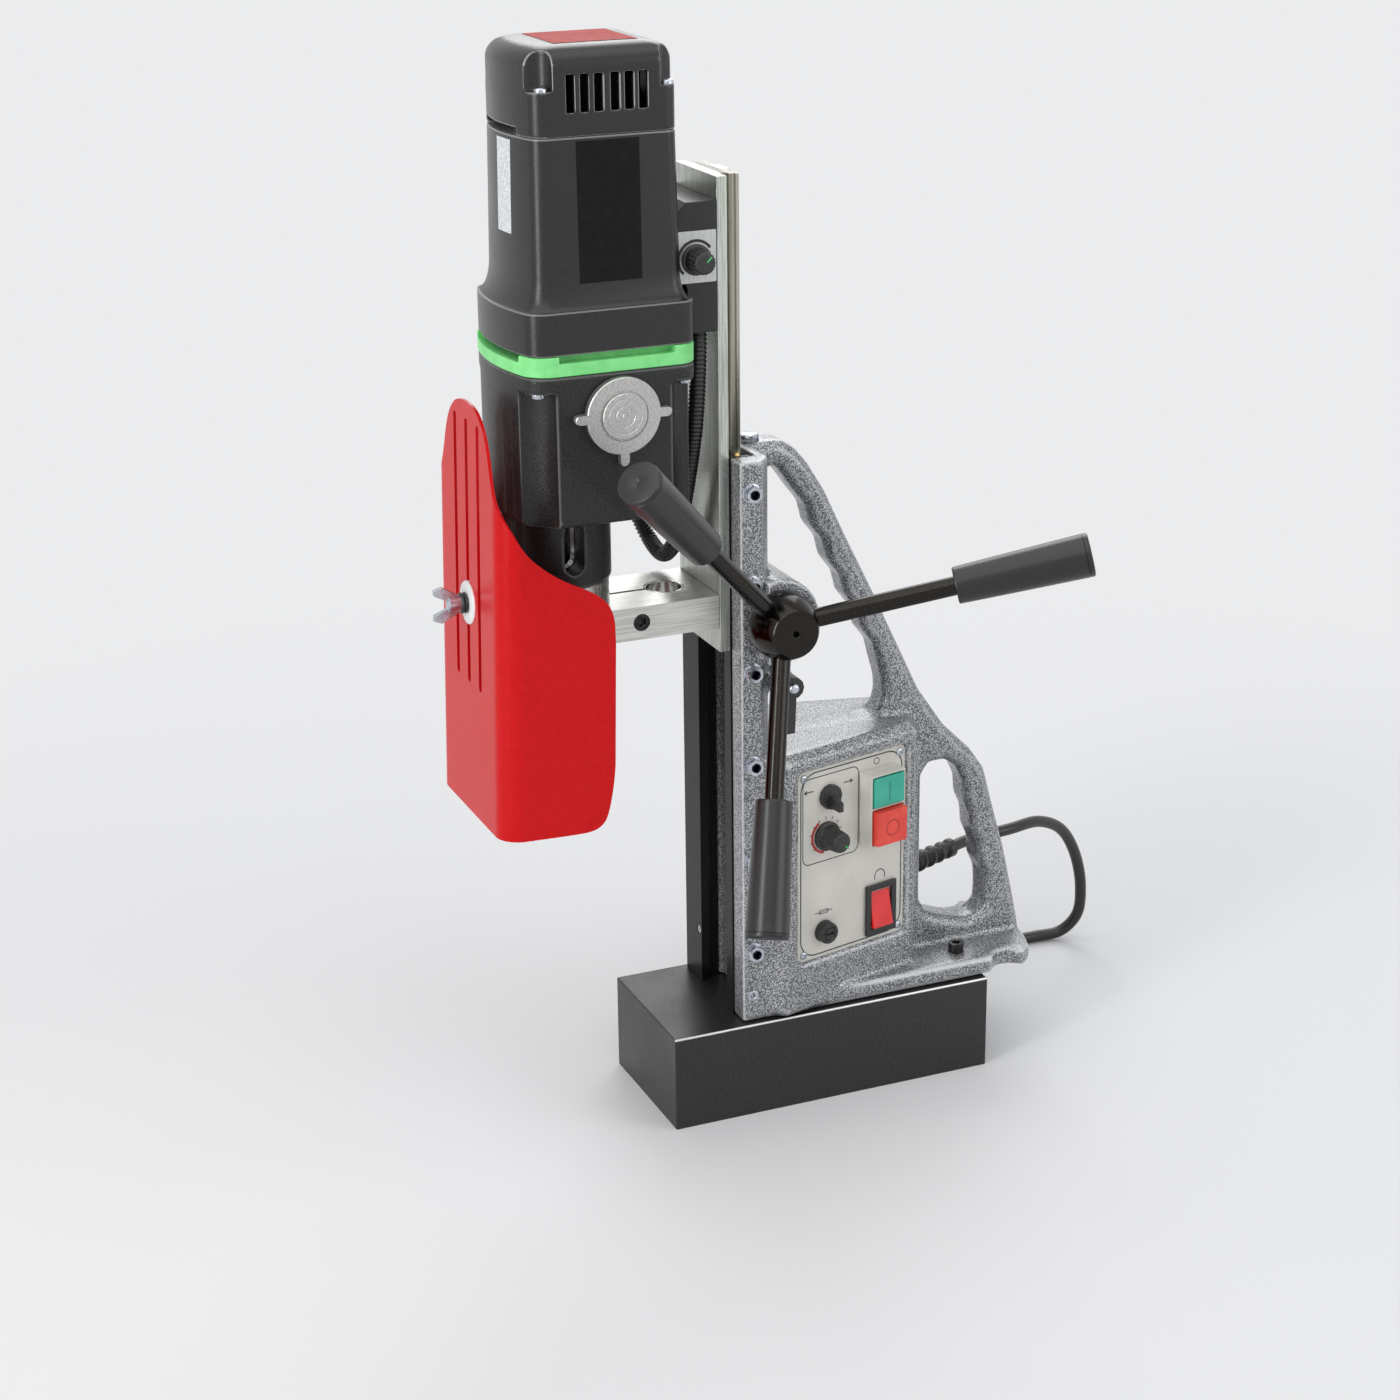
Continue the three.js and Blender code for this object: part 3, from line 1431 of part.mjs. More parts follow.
function buildBracket() {
  const { bottom, height, holeY, holeRadius, slit, bossRadius } = BRACKET;
  const half = SLIDE.halfWidth;
  const outline = [[half, SLIDE.front - GAP]];
  for (let i = 0; i <= ROUND_SIDES / 2; i += 1) {
    const angle = -(Math.PI * i) / (ROUND_SIDES / 2);
    outline.push([half * Math.cos(angle), SPINDLE_Y + half * Math.sin(angle)]);
  }
  outline.push([-half, SLIDE.front - GAP]);
  const top = bottom + height;
  const through = [bottom - OVERRUN, top + OVERRUN];
  const body = prism("z", outline.reverse(), bottom, top);
  const screwAt = [CLAMP.y, CLAMP.z];
  const cutters = [
    rod("z", bossRadius + GAP, [0, SPINDLE_Y], ...through),
    rod("z", holeRadius, [0, holeY], ...through),
    block([-slit / 2, SPINDLE_Y, through[0]], [slit / 2, holeY, through[1]]),
    rod("x", CLAMP.shank + GAP, screwAt, -half + CLAMP.headDepth, half + OVERRUN, SMALL_SIDES),
    rod("x", CLAMP.head + GAP, screwAt, half - CLAMP.headDepth - GAP, half + OVERRUN, SMALL_SIDES * 2),
  ];
  const shank = rod(
    "x",
    CLAMP.shank,
    screwAt,
    -half + CLAMP.headDepth + GAP,
    half - CLAMP.headDepth,
    SMALL_SIDES,
  );
  const head = rod("x", CLAMP.head, screwAt, half - CLAMP.headDepth, half, SMALL_SIDES * 2);
  const socket = prism("x", circle(CLAMP.socket, screwAt, 6), half - CLAMP.socketDepth, half + OVERRUN);
  return [
    piece("spindle_bracket", cut(body, ...cutters), "aluminium"),
    piece("bracket_clamp_screw", cut(join(shank, head), socket), "blackened"),
  ];
}

function noseGeometry() {
  const bore = SPINDLE.radius + RUNNING;
  const collar = SLIDE.halfWidth;
  const step = BRACKET.bottom + BRACKET.height + GAP;
  return turned(
    [
      [bore, NOSE.bottom],
      [BRACKET.bossRadius, NOSE.bottom],
      [BRACKET.bossRadius, step],
      [collar, step],
      [collar, NOSE.collarTop],
      [bore, NOSE.collarTop],
    ],
    [0, SPINDLE_Y],
    ROUND_SIDES + 8,
  );
}

function gearboxSolid() {
  const { half, corner, bottom, top, wall, neckRadius, neckBore } = GEARBOX;
  const shell = prism("z", towerOutline(half, corner), bottom, top);
  const neck = rod("z", neckRadius, [0, SPINDLE_Y], NOSE.collarTop + GAP, bottom + wall, ROUND_SIDES + 8);
  const front = MOTOR_Y - half * (1 + FRONT_BOW_SHARE / 2);
  const recesses = [-1, 1].flatMap((side) =>
    [front, MOTOR_Y + half].map((y) =>
      rod("z", CORNER_RECESS.radius, [side * half, y], bottom - OVERRUN, bottom + CORNER_RECESS.depth),
    ),
  );
  const inside = half - wall;
  const round = hollowCorner(half, inside, CORNER_RECESS.radius, wall);
  const hollow = prism("z", towerOutline(inside, round), bottom + wall, top + OVERRUN);
  const bore = rod("z", neckBore, [0, SPINDLE_Y], NOSE.collarTop - OVERRUN, bottom + 2 * wall);
  const socketHalf = CONDUIT_SOCKET.width / 2;
  const socket = block(
    [-half - CONDUIT_SOCKET.reach, CONDUIT_SOCKET.y - socketHalf, CONDUIT_SOCKET.bottom],
    [-half + wall, CONDUIT_SOCKET.y + socketHalf, CONDUIT_SOCKET.bottom + CONDUIT_SOCKET.height],
  );
  const selector = rod(
    "x",
    SELECT_EAR.stem + GAP,
    [SELECT_DISC.y, SELECT_DISC.z],
    inside - OVERRUN,
    half + OVERRUN,
    SMALL_SIDES,
  );
  const { x, y } = idlerPlace();
  const idlerBoss = rod("z", IDLER.pinBoss, [x, y], bottom + wall / 2, IDLER.pinBossTop, SMALL_SIDES);
  const idlerHole = rod(
    "z",
    IDLER.shaft + GAP,
    [x, y],
    bottom + wall / 2,
    IDLER.pinBossTop + OVERRUN,
    SMALL_SIDES,
  );
  const body = cut(join(cut(shell, ...recesses), neck, socket), hollow, bore, driftCut(neckRadius), selector);
  return cut(join(body, idlerBoss), idlerHole);
}

// The drift slot: an upright slot with round ends, right through the neck along X
function driftCut(reach) {
  const { bottom, top, width } = DRIFT;
  const radius = width / 2;
  const span = [-reach - OVERRUN, reach + OVERRUN];
  return join(
    rod("x", radius, [SPINDLE_Y, bottom + radius], ...span, SMALL_SIDES),
    rod("x", radius, [SPINDLE_Y, top - radius], ...span, SMALL_SIDES),
    block([span[0], SPINDLE_Y - radius, bottom + radius], [span[1], SPINDLE_Y + radius, top - radius]),
  );
}

// The idler's axis lies at both centre distances, on the far side of the plane of the other two axes
function idlerPlace() {
  const { module, firstModule, pinionTeeth, wheelTeeth, idlerTeeth } = TRAIN;
  const toMotor = (firstModule * (pinionTeeth + wheelTeeth)) / 2;
  const toSpindle = (module * (idlerTeeth + SPINDLE_GEAR.teeth)) / 2;
  const between = MOTOR_Y - SPINDLE_Y;
  const alongY = (toSpindle ** 2 - toMotor ** 2 + between ** 2) / (2 * between);
  return { x: -Math.sqrt(toSpindle ** 2 - alongY ** 2), y: SPINDLE_Y + alongY };
}

function spindleSolid() {
  const { bottom, radius, shoulder, stemRadius, top, mouth, socketTop, socketEnd } = SPINDLE;
  const at = [0, SPINDLE_Y];
  const body = toSolid(
    turned(
      [
        [mouth, bottom],
        [radius, bottom],
        [radius, shoulder],
        [stemRadius, shoulder],
        [stemRadius, top],
        [0, top],
        [0, socketTop],
        [socketEnd, socketTop],
      ],
      at,
    ),
  );
  const gapToIdler = idlerPlace();
  const toward = Math.atan2(gapToIdler.y - SPINDLE_Y, gapToIdler.x);
  const phase = toward + Math.PI / SPINDLE_GEAR.teeth;
  const outline = gearOutline(TRAIN.module, SPINDLE_GEAR.teeth, at, phase);
  const gear = prism("z", outline, SPINDLE_GEAR.bottom, SPINDLE_GEAR.bottom + SPINDLE_GEAR.height);
  return cut(join(body, gear), driftCut(radius));
}

function idlerSolid() {
  const { x, y } = idlerPlace();
  const { module, firstModule, pinionTeeth, wheelTeeth, idlerTeeth } = TRAIN;
  const at = [x, y];
  const toSpindle = Math.atan2(SPINDLE_Y - y, -x);
  const toMotor = Math.atan2(MOTOR_Y - y, -x);
  const pinion = gearOutline(module, idlerTeeth, at, toSpindle);
  const wheel = gearOutline(firstModule, wheelTeeth, at, toMotor + Math.PI / wheelTeeth);
  const pinionBottom = SPINDLE_GEAR.bottom + OVERRUN;
  return join(
    rod("z", IDLER.shaft, at, GEARBOX.bottom + GEARBOX.wall / 2 + GAP, GEARBOX.top - GAP, SMALL_SIDES),
    prism("z", pinion, pinionBottom - OVERRUN, SPINDLE_GEAR.bottom + SPINDLE_GEAR.height),
    prism("z", wheel, IDLER.wheelBottom, IDLER.wheelBottom + IDLER.wheelHeight),
  );
}

function plateSolid() {
  const { half, corner, top, notchDrop, notchInset, notchDepth } = BEARING_PLATE;
  const bottom = GEARBOX.top + GAP;
  const slab = prism("z", towerOutline(half, corner), bottom, top);
  const span = half - notchInset;
  const drop = top - notchDrop;
  const reach = half * (1 + FRONT_BOW_SHARE) + OVERRUN;
  const sides = [-1, 1].flatMap((side) => {
    const [near, far] = [side * (half - notchDepth), side * reach].sort((a, b) => a - b);
    return [
      block([near, MOTOR_Y - span, drop], [far, MOTOR_Y + span, top + OVERRUN]),
      block([-span, MOTOR_Y + near, drop], [span, MOTOR_Y + far, top + OVERRUN]),
    ];
  });
  const shaftHole = rod("z", ARMATURE.shaft + GAP, [0, MOTOR_Y], bottom - OVERRUN, top + OVERRUN);
  return cut(slab, ...sides, shaftHole);
}

function motorSolid() {
  const { flangeHalf, flangeCorner, flangeTop, flareTop, bodyHalf, topHalf, corner, top, bore } = MOTOR;
  const bottom = BEARING_PLATE.top + GAP;
  const rise = flareTop - flangeTop;
  const spread = flangeHalf - bodyHalf;
  const rings = [
    { half: flangeHalf, corner: flangeCorner, z: bottom },
    { half: flangeHalf, corner: flangeCorner, z: flangeTop },
  ];
  const flareSteps = 4;
  for (let i = 1; i <= flareSteps; i += 1) {
    const angle = ((Math.PI / 2) * i) / flareSteps;
    const share = Math.sin(angle);
    const half = flangeHalf - spread * share;
    const round = flangeCorner - (flangeCorner - corner) * share;
    rings.push({ half, corner: round, z: flareTop - rise * Math.cos(angle) });
  }
  rings.push({ half: topHalf, corner, z: top });
  const body = toSolid(towerGeometry(rings));
  return cut(body, rod("z", bore, [0, MOTOR_Y], bottom - OVERRUN, top + OVERRUN, ROUND_SIDES + 8));
}

function capSolid() {
  const { bottom, side, crown, crownPower, wall, crownHalf } = CAP;
  const { topHalf, corner } = MOTOR;
  const rings = [{ half: topHalf, corner, z: bottom }];
  const roundSteps = 4;
  for (let i = 0; i <= roundSteps; i += 1) {
    const angle = ((Math.PI / 2) * i) / roundSteps;
    const half = crownHalf + (topHalf - crownHalf) * Math.cos(angle) ** crownPower;
    rings.push({ half, corner, z: CAP_SHOULDER + crown * Math.sin(angle) });
  }
  const outside = toSolid(towerGeometry(rings));
  const inside = topHalf - 2 * wall;
  const round = hollowCorner(topHalf, inside, CAP_POCKET.radius, wall);
  const hollow = prism("z", roundedSquare(inside, round, MOTOR_Y), bottom - OVERRUN, CAP_SHOULDER);
  const ventHeights = [bottom + VENT.lowShare * side, bottom + VENT.highShare * side];
  const vents = [];
  for (const group of [-1, 1]) {
    for (let i = 0; i < VENT.perGroup; i += 1) {
      const middle = MOTOR_Y + (group * VENT.groupSpacing) / 2 + (i - (VENT.perGroup - 1) / 2) * VENT.pitch;
      const reach = topHalf + OVERRUN;
      const [low, high] = [middle - VENT.width / 2, middle + VENT.width / 2];
      vents.push(block([-reach, low, ventHeights[0]], [reach, high, ventHeights[1]]));
    }
  }
  const pocketFloor = bottom + CAP_POCKET.floorShare * side;
  const pockets = [-1, 1].flatMap((sx) =>
    [-1, 1].map((sy) => {
      const at = [sx * topHalf, MOTOR_Y + sy * topHalf];
      return rod("z", CAP_POCKET.radius, at, pocketFloor, CAP_TOP + OVERRUN, SMALL_SIDES);
    }),
  );
  const front = MOTOR_Y - topHalf * (1 + FRONT_BOW_SHARE);
  const seamSlot = block(
    [SEAM_SLOT.low, front - OVERRUN, bottom - OVERRUN],
    [SEAM_SLOT.high, front + SEAM_SLOT.depth, bottom + SEAM_SLOT.heightShare * side],
  );
  const seat = [0, MOTOR_Y];
  const bearing = cut(
    rod("z", 2 * ARMATURE.shaft, seat, ARMATURE.end - 2 * OVERRUN, CAP_SHOULDER + GAP, SMALL_SIDES),
    rod("z", ARMATURE.shaft + GAP, seat, ARMATURE.end - 2 * OVERRUN - GAP, ARMATURE.end + GAP),
  );
  return join(cut(outside, hollow, ...vents, ...pockets, seamSlot), bearing);
}

function statorGeometry() {
  const outer = MOTOR.bore - GAP;
  return turned(
    [
      [STATOR.inner, STATOR.bottom],
      [outer, STATOR.bottom],
      [outer, STATOR.top],
      [STATOR.inner, STATOR.top],
    ],
    [0, MOTOR_Y],
  );
}

function armatureSolid() {
  const { radius, bottom, top, shaft, end, commutator, commutatorTop } = ARMATURE;
  const pinionBottom = IDLER.wheelBottom - GAP;
  const aboveWheel = IDLER.wheelBottom + IDLER.wheelHeight + 2 * GAP;
  const body = turned(
    [
      [0, aboveWheel],
      [shaft, aboveWheel],
      [shaft, FAN.bottom],
      [FAN.radius, FAN.bottom],
      [FAN.radius, FAN.bottom + FAN.thickness],
      [shaft, FAN.bottom + FAN.thickness],
      [shaft, bottom],
      [radius, bottom],
      [radius, top],
      [commutator, top],
      [commutator, commutatorTop],
      [shaft, commutatorTop],
      [shaft, end],
      [0, end],
    ],
    [0, MOTOR_Y],
  );
  const idler = idlerPlace();
  const toward = Math.atan2(idler.y - MOTOR_Y, idler.x);
  const outline = gearOutline(TRAIN.firstModule, TRAIN.pinionTeeth, [0, MOTOR_Y], toward);
  return join(toSolid(body), prism("z", outline, pinionBottom, aboveWheel + OVERRUN));
}

function selectorDisc() {
  const at = [SELECT_DISC.y, SELECT_DISC.z];
  const { radius, thickness, inner, innerProud } = SELECT_DISC;
  const { length, width, stem, stemLength } = SELECT_EAR;
  const seat = BEARING_PLATE.half + GAP;
  const face = seat + thickness;
  const reach = radius + length;
  const ear = width / 2;
  return join(
    rod("x", radius, at, seat, face),
    rod("x", inner, at, seat, face + innerProud),
    rod("x", stem, at, seat - stemLength, face, SMALL_SIDES),
    block([seat, at[0] - reach, at[1] - ear], [face, at[0] + reach, at[1] + ear]),
    block([seat, at[0] - ear, at[1] - reach], [face, at[0] + ear, at[1]]),
  );
}

function buildDrive() {
  return [
    piece("bearing_nose", noseGeometry(), "aluminium"),
    piece("spindle", spindleSolid(), "steel"),
    piece("idler_gear", idlerSolid(), "steel"),
    piece("gearbox_housing", gearboxSolid(), "black_plastic"),
    piece("gear_selector", selectorDisc(), "aluminium"),
    piece("bearing_plate", plateSolid(), "green_plastic"),
    piece("motor_housing", motorSolid(), "black_plastic"),
    piece("motor_cap", capSolid(), "black_plastic"),
    piece("stator", statorGeometry(), "dark_steel"),
    piece("armature", armatureSolid(), "steel"),
  ];
}

// Torque box, its knob and the conduit

function torqueBox() {
  const { half, bottom, top, frontLow, frontHigh, step, flare, round } = TORQUE;
  const back = SLIDE.front - GAP;
  const outline = [
    [back, bottom],
    [back, top],
    [frontHigh + round, top],
    [frontHigh, top - round],
    [frontHigh, flare],
    [frontLow, step],
    [frontLow, bottom],
  ];
  const shaft = rod(
    "x",
    PANEL_SHAFT.radius + GAP,
    [TORQUE_KNOB.y, TORQUE_KNOB.z],
    half - PANEL_SHAFT.length,
    half + OVERRUN,
    SMALL_SIDES,
  );
  return cut(prism("x", outline, -half, half, { bevel: GAP }), shaft);
}

function torqueKnob() {
  const { skirt, skirtLength, radius, length, y, z } = TORQUE_KNOB;
  const inHole = PANEL_SHAFT.length - GAP;
  const profile = [
    [0, -inHole],
    [PANEL_SHAFT.radius, -inHole],
    [PANEL_SHAFT.radius, GAP],
    [skirt, GAP],
    [skirt, skirtLength],
    [radius, skirtLength + GAP],
    [radius - GAP, length],
    [0, length],
  ];
  return aimed(turned(profile, [0, 0], SMALL_SIDES), [TORQUE.half, y, z], vec(1, 0, 0));
}

function conduitPath() {
  const { straight } = CONDUIT;
  const start = CONDUIT_START;
  const socketX = -GEARBOX.half - CONDUIT_SOCKET.reach / 2;
  const end = [socketX, CONDUIT_SOCKET.y, CONDUIT_SOCKET.bottom - GAP];
  const above = [start[0], start[1], start[2] - straight];
  const below = [end[0], end[1], end[2] - straight];
  const run = [start, above, ...CONDUIT_RUN, below, end].map(([x, y, z]) => vec(x, y, z));
  return new THREE.CatmullRomCurve3(run, false, "centripetal");
}

// The ribs: two wide rings then two narrow ones in every pitch, over a smooth bore
function conduitGeometry() {
  const { radius, groove, bore, ribPitch, sides } = CONDUIT;
  const curve = conduitPath();
  const ribs = Math.round(curve.getLength() / ribPitch);
  const count = 2 * ribs;
  const path = curve.getSpacedPoints(count).map((point) => point.toArray());
  const outerRings = tubeRings(path, (i) => (i % 2 === 0 ? groove : radius), sides);
  const borePath = path.filter((_, i) => i % (2 * BORE_RING_EVERY) === 0 || i === count);
  const boreRings = tubeRings(borePath, () => bore, sides).reverse();
  console.log(`conduit least gap to itself: ${leastGap(path, radius).toFixed(2)} mm`);
  return ringBody([...outerRings, ...boreRings, outerRings[0]], false);
}

function buildTorqueControl() {
  return [
    piece("torque_box", torqueBox(), "black_plastic"),
    piece("torque_knob", torqueKnob(), "black_plastic"),
    piece("conduit", conduitGeometry(), "black_plastic"),
  ];
}

// Chip guard, its holder, washer and wing screw, in the guard's frame

function sheetPlan(half, front, depth, bend) {
  const points = [[half, front + depth + OVERRUN]];
  const steps = 4;
  for (let i = 0; i <= steps; i += 1) {
    const angle = -((Math.PI / 2) * i) / steps;
    points.push([half - bend + bend * Math.cos(angle), front + bend + bend * Math.sin(angle)]);
  }
  return [...points, ...mirrored(points)];
}

function guardSheet() {
  const { front, half, sheet, bend, bottom, top } = GUARD;
  const { depth, rearCorner, tailShare } = WING;
  const outer = prism("z", sheetPlan(half, -front, depth, bend).reverse(), bottom, top);
  const inner = prism(
    "z",
    sheetPlan(half - sheet, -front + sheet, depth, bend - sheet).reverse(),
    bottom - OVERRUN,
    top + OVERRUN,
  );
  const topEdge = GUARD_TOP_SHARES.map(([across, up]) => [across * half, up * top]);
  const face = [...mirrored(topEdge), ...topEdge.slice(1), [topEdge.at(-1)[0], bottom - OVERRUN]];
  const faceOutline = [[-topEdge.at(-1)[0], bottom - OVERRUN], ...face];
  const facePrism = prism("y", faceOutline.reverse(), -front - OVERRUN, depth);
  const rear = -front + depth;
  const wing = [
    [-front - OVERRUN, bottom - OVERRUN],
    [rear - rearCorner, bottom],
    [rear - rearCorner / 3, bottom + rearCorner / 4],
    [rear - rearCorner * tailShare, bottom + rearCorner],
    [rear, bottom + 2 * rearCorner],
    ...[...WING_EDGE_SHARES].reverse().map(([back, up]) => [-front + back * depth, up * top]),
    [-front + sheet, top + OVERRUN],
    [-front - OVERRUN, top + OVERRUN],
  ];
  const wings = prism("x", wing, -half - OVERRUN, half + OVERRUN);
  const slots = [-1, 0, 1].map((i) => slotCut(i * SLOT.spacing));
  return cut(outer.subtract(inner).intersect(facePrism).intersect(wings), ...slots);
}

function slotCut(x) {
  const radius = SLOT.width / 2;
  const span = [-GUARD.front - OVERRUN, -GUARD.front + OVERRUN];
  return join(
    rod("y", radius, [x, SLOT.bottom + radius], ...span, SMALL_SIDES),
    rod("y", radius, [x, SLOT.top - radius], ...span, SMALL_SIDES),
    block([x - radius, span[0], SLOT.bottom + radius], [x + radius, span[1], SLOT.top - radius]),
  );
}

function holderSolid() {
  const { half, bottom, top, seatGap, boreDepth, screwRadius, pinRadius } = HOLDER;
  const face = -GUARD.front + GUARD.sheet + GAP;
  const body = block([-half, face, bottom], [half, -half / 2, top]);
  const seat = rod("z", SLIDE.halfWidth + seatGap, [0, 0], bottom - OVERRUN, top + OVERRUN, ROUND_SIDES + 8);
  const bore = rod("y", screwRadius + GAP, [0, 0], face - OVERRUN, face + boreDepth, SMALL_SIDES);
  const pins = [-1, 1].map((side) =>
    rod("y", pinRadius, [side * SLOT.spacing, 0], -GUARD.front, face + OVERRUN, SMALL_SIDES),
  );
  return cut(join(body, ...pins), seat, bore);
}

function washerSolid() {
  const back = -GUARD.front - GAP;
  const ring = rod("y", GUARD_WASHER.radius, [0, 0], back - GUARD_WASHER.thickness, back);
  const hole = rod(
    "y",
    HOLDER.screwRadius + GAP,
    [0, 0],
    back - GUARD_WASHER.thickness - OVERRUN,
    back + OVERRUN,
    SMALL_SIDES,
  );
  return cut(ring, hole);
}

function wingScrew() {
  const { hub, hubLength, wingSpan, wingReach, wingThick, wingRoot, wingTip } = WING_SCREW;
  const seat = -GUARD.front - GUARD_WASHER.thickness - 2 * GAP;
  const inner = -GUARD.front + GUARD.sheet + HOLDER.boreDepth - GAP;
  const wings = [-1, 1].map((side) =>
    prism(
      "x",
      [
        [seat - wingRoot, 0],
        [seat - wingRoot, side * hub],
        [seat - wingReach + wingTip, side * wingSpan],
        [seat - wingReach, side * (wingSpan - wingTip / 3)],
        [seat - wingReach + GAP, side * (wingSpan - wingTip)],
        [seat - hubLength, side * wingRoot / 2],
        [seat - hubLength, 0],
      ],
      -wingThick / 2,
      wingThick / 2,
    ),
  );
  return join(
    rod("y", HOLDER.screwRadius, [0, 0], seat - hubLength, inner, SMALL_SIDES),
    rod("y", hub, [0, 0], seat - hubLength, seat, SMALL_SIDES),
    ...wings,
  );
}

function buildGuard() {
  const frame = new THREE.Group();
  frame.position.set(0, SPINDLE_Y, GUARD.height);
  frame.rotation.x = -DEG(GUARD.leanDeg);
  frame.add(
    piece("guard_holder", holderSolid(), "aluminium"),
    piece("guard_sheet", guardSheet(), "red_gloss"),
    piece("guard_washer", washerSolid(), "white"),
    piece("guard_wing_screw", wingScrew(), "zinc"),
  );
  return frame;
}

// The whole drill

function buildStand() {
  const stand = new THREE.Group();
  stand.add(...buildMagnet(), buildCasting(), ...buildWays(), ...buildStandFasteners(), buildPanel());
  stand.add(...buildCord(), ...buildCapstan(), buildLockLever());
  return stand;
}

function buildCarriage() {
  const carriage = new THREE.Group();
  carriage.add(
    buildSlide(),
    buildRack(),
    ...buildBracket(),
    ...buildDrive(),
    ...buildTorqueControl(),
    buildGuard(),
  );
  return carriage;
}

const magneticDrill = new THREE.Group();
magneticDrill.add(buildStand(), buildCarriage());

export default magneticDrill;
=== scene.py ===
import math
import bmesh
import bpy
import numpy as np
from mathutils import Matrix


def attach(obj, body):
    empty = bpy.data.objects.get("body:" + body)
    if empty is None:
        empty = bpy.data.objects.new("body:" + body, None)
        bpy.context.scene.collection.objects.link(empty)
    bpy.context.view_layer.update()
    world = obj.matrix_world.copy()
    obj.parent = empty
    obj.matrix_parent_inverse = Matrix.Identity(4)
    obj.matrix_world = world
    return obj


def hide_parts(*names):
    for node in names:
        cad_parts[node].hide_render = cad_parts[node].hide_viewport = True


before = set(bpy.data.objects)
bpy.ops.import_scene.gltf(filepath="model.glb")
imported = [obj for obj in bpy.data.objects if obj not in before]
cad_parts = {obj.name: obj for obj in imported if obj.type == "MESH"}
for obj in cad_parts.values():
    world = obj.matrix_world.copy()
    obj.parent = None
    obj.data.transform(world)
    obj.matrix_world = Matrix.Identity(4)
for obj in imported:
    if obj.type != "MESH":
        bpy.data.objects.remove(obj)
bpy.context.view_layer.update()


# Camera at the photograph's angle: from the panel side, a little in front and above, with a long lens.
def piece_of(name, data):
    """A new object in the scene with the data."""
    piece = bpy.data.objects.new(name, data)
    bpy.context.scene.collection.objects.link(piece)
    return piece


def hung(name, data, place, right, up, back):
    """A new object at a place, with its own three axes along three directions."""
    rows = [[column[i] for column in (right, up, back, place)] for i in range(3)]
    piece = piece_of(name, data)
    piece.matrix_world = Matrix(rows + [[0, 0, 0, 1]])
    return piece


def unit(vector):
    """The direction of a vector."""
    return vector / np.linalg.norm(vector)


pitch, heading, roll = (math.radians(a) for a in (19.95, 67.26, 0.67))
ahead = np.array((-math.sin(heading) * math.cos(pitch), math.cos(heading) * math.cos(pitch), -math.sin(pitch)))
level = unit(np.cross(ahead, (0, 0, 1)))
upward = np.cross(level, ahead)
right = math.cos(roll) * level - math.sin(roll) * upward
above = math.sin(roll) * level + math.cos(roll) * upward
lens = bpy.data.cameras.new("camera")
lens.lens, lens.sensor_width, lens.clip_start, lens.clip_end = 72.49, 36, 0.05, 30
bpy.context.scene.camera = hung("camera", lens, (1.510886, -0.702951, 0.860505), right, above, -ahead)
bpy.context.scene.view_settings.view_transform = "Standard"

# Studio light: a large soft source above, a tall strip from the camera's left that draws a highlight down every
# upright edge, a weak broad one from the right and one behind.
for name, place, aim, width, tall, watts, tint in (
    ("soft_overhead", (0.5, -0.5, 2.3), (0, 0, 0.3), 3.0, 3.0, 30, (1, 1, 1)),
    ("strip_left", (0.9, -2.1, 0.8), (0, 0, 0.35), 0.45, 1.9, 24, (1, 0.99, 0.98)),
    ("side_right", (1.7, 1.6, 1.1), (0, 0, 0.25), 1.4, 1.4, 12, (0.98, 0.99, 1)),
    ("back_edge", (-1.4, 0.7, 1.5), (0, 0, 0.4), 1.2, 1.2, 12, (1, 1, 1)),
):
    lamp = bpy.data.lights.new(name, "AREA")
    lamp.shape, lamp.size, lamp.size_y = "RECTANGLE", width, tall
    lamp.energy, lamp.color = watts, tint
    away = unit(np.subtract(place, aim))
    across = unit(np.cross((0, 0, 1), away))
    hung(name, lamp, place, across, np.cross(away, across), away)


# The world lights the object evenly, and shows a pale backdrop to the camera and in metal and glass.
def feed(tree, node, pairs):
    """Feeds a node: (socket name or number, source) pairs, a source being an output, a node's first or a value."""
    for socket, source in pairs:
        if isinstance(source, bpy.types.Node):
            source = source.outputs[0]
        if isinstance(source, bpy.types.NodeSocket):
            tree.links.new(source, node.inputs[socket])
        else:
            node.inputs[socket].default_value = source


def add(tree, kind, pairs=(), **values):
    """A fed node of a kind. Values named like a property of the node set that, others set the socket."""
    node = tree.nodes.new("ShaderNode" + kind)
    for key, value in values.items():
        if hasattr(node, key):
            setattr(node, key, value)
        else:
            node.inputs[key.replace("_", " ")].default_value = value
    feed(tree, node, pairs)
    return node


def combined(tree, operation, first, second, kind="Math", **values):
    """A node that combines two numbers or two vectors."""
    return add(tree, kind, [(0, first), (1, second)], operation=operation, **values)


def seen_rays(tree):
    """1 for the rays that show the backdrop: from the camera, from glossy reflections and through glass."""
    path = add(tree, "LightPath")
    largest = path.outputs["Is Camera Ray"]
    for kind in ("Is Glossy Ray", "Is Transmission Ray"):
        largest = combined(tree, "MAXIMUM", largest, path.outputs[kind])
    return largest


def blended(tree, factor, first, second, output):
    """Mixes two shaders by a factor and feeds the output's surface."""
    feed(tree, output, [("Surface", add(tree, "MixShader", [("Fac", factor), (1, first), (2, second)]))])


backdrop_colour = (0.83, 0.835, 0.845, 1)
world = bpy.data.worlds.new("studio")
bpy.context.scene.world = world
world.use_nodes = True
sky = world.node_tree
sky.nodes.clear()
glow = add(sky, "Background", Color=(0.97, 0.98, 1, 1), Strength=0.36)
blended(sky, seen_rays(sky), glow, add(sky, "Background", Color=backdrop_colour), add(sky, "OutputWorld"))


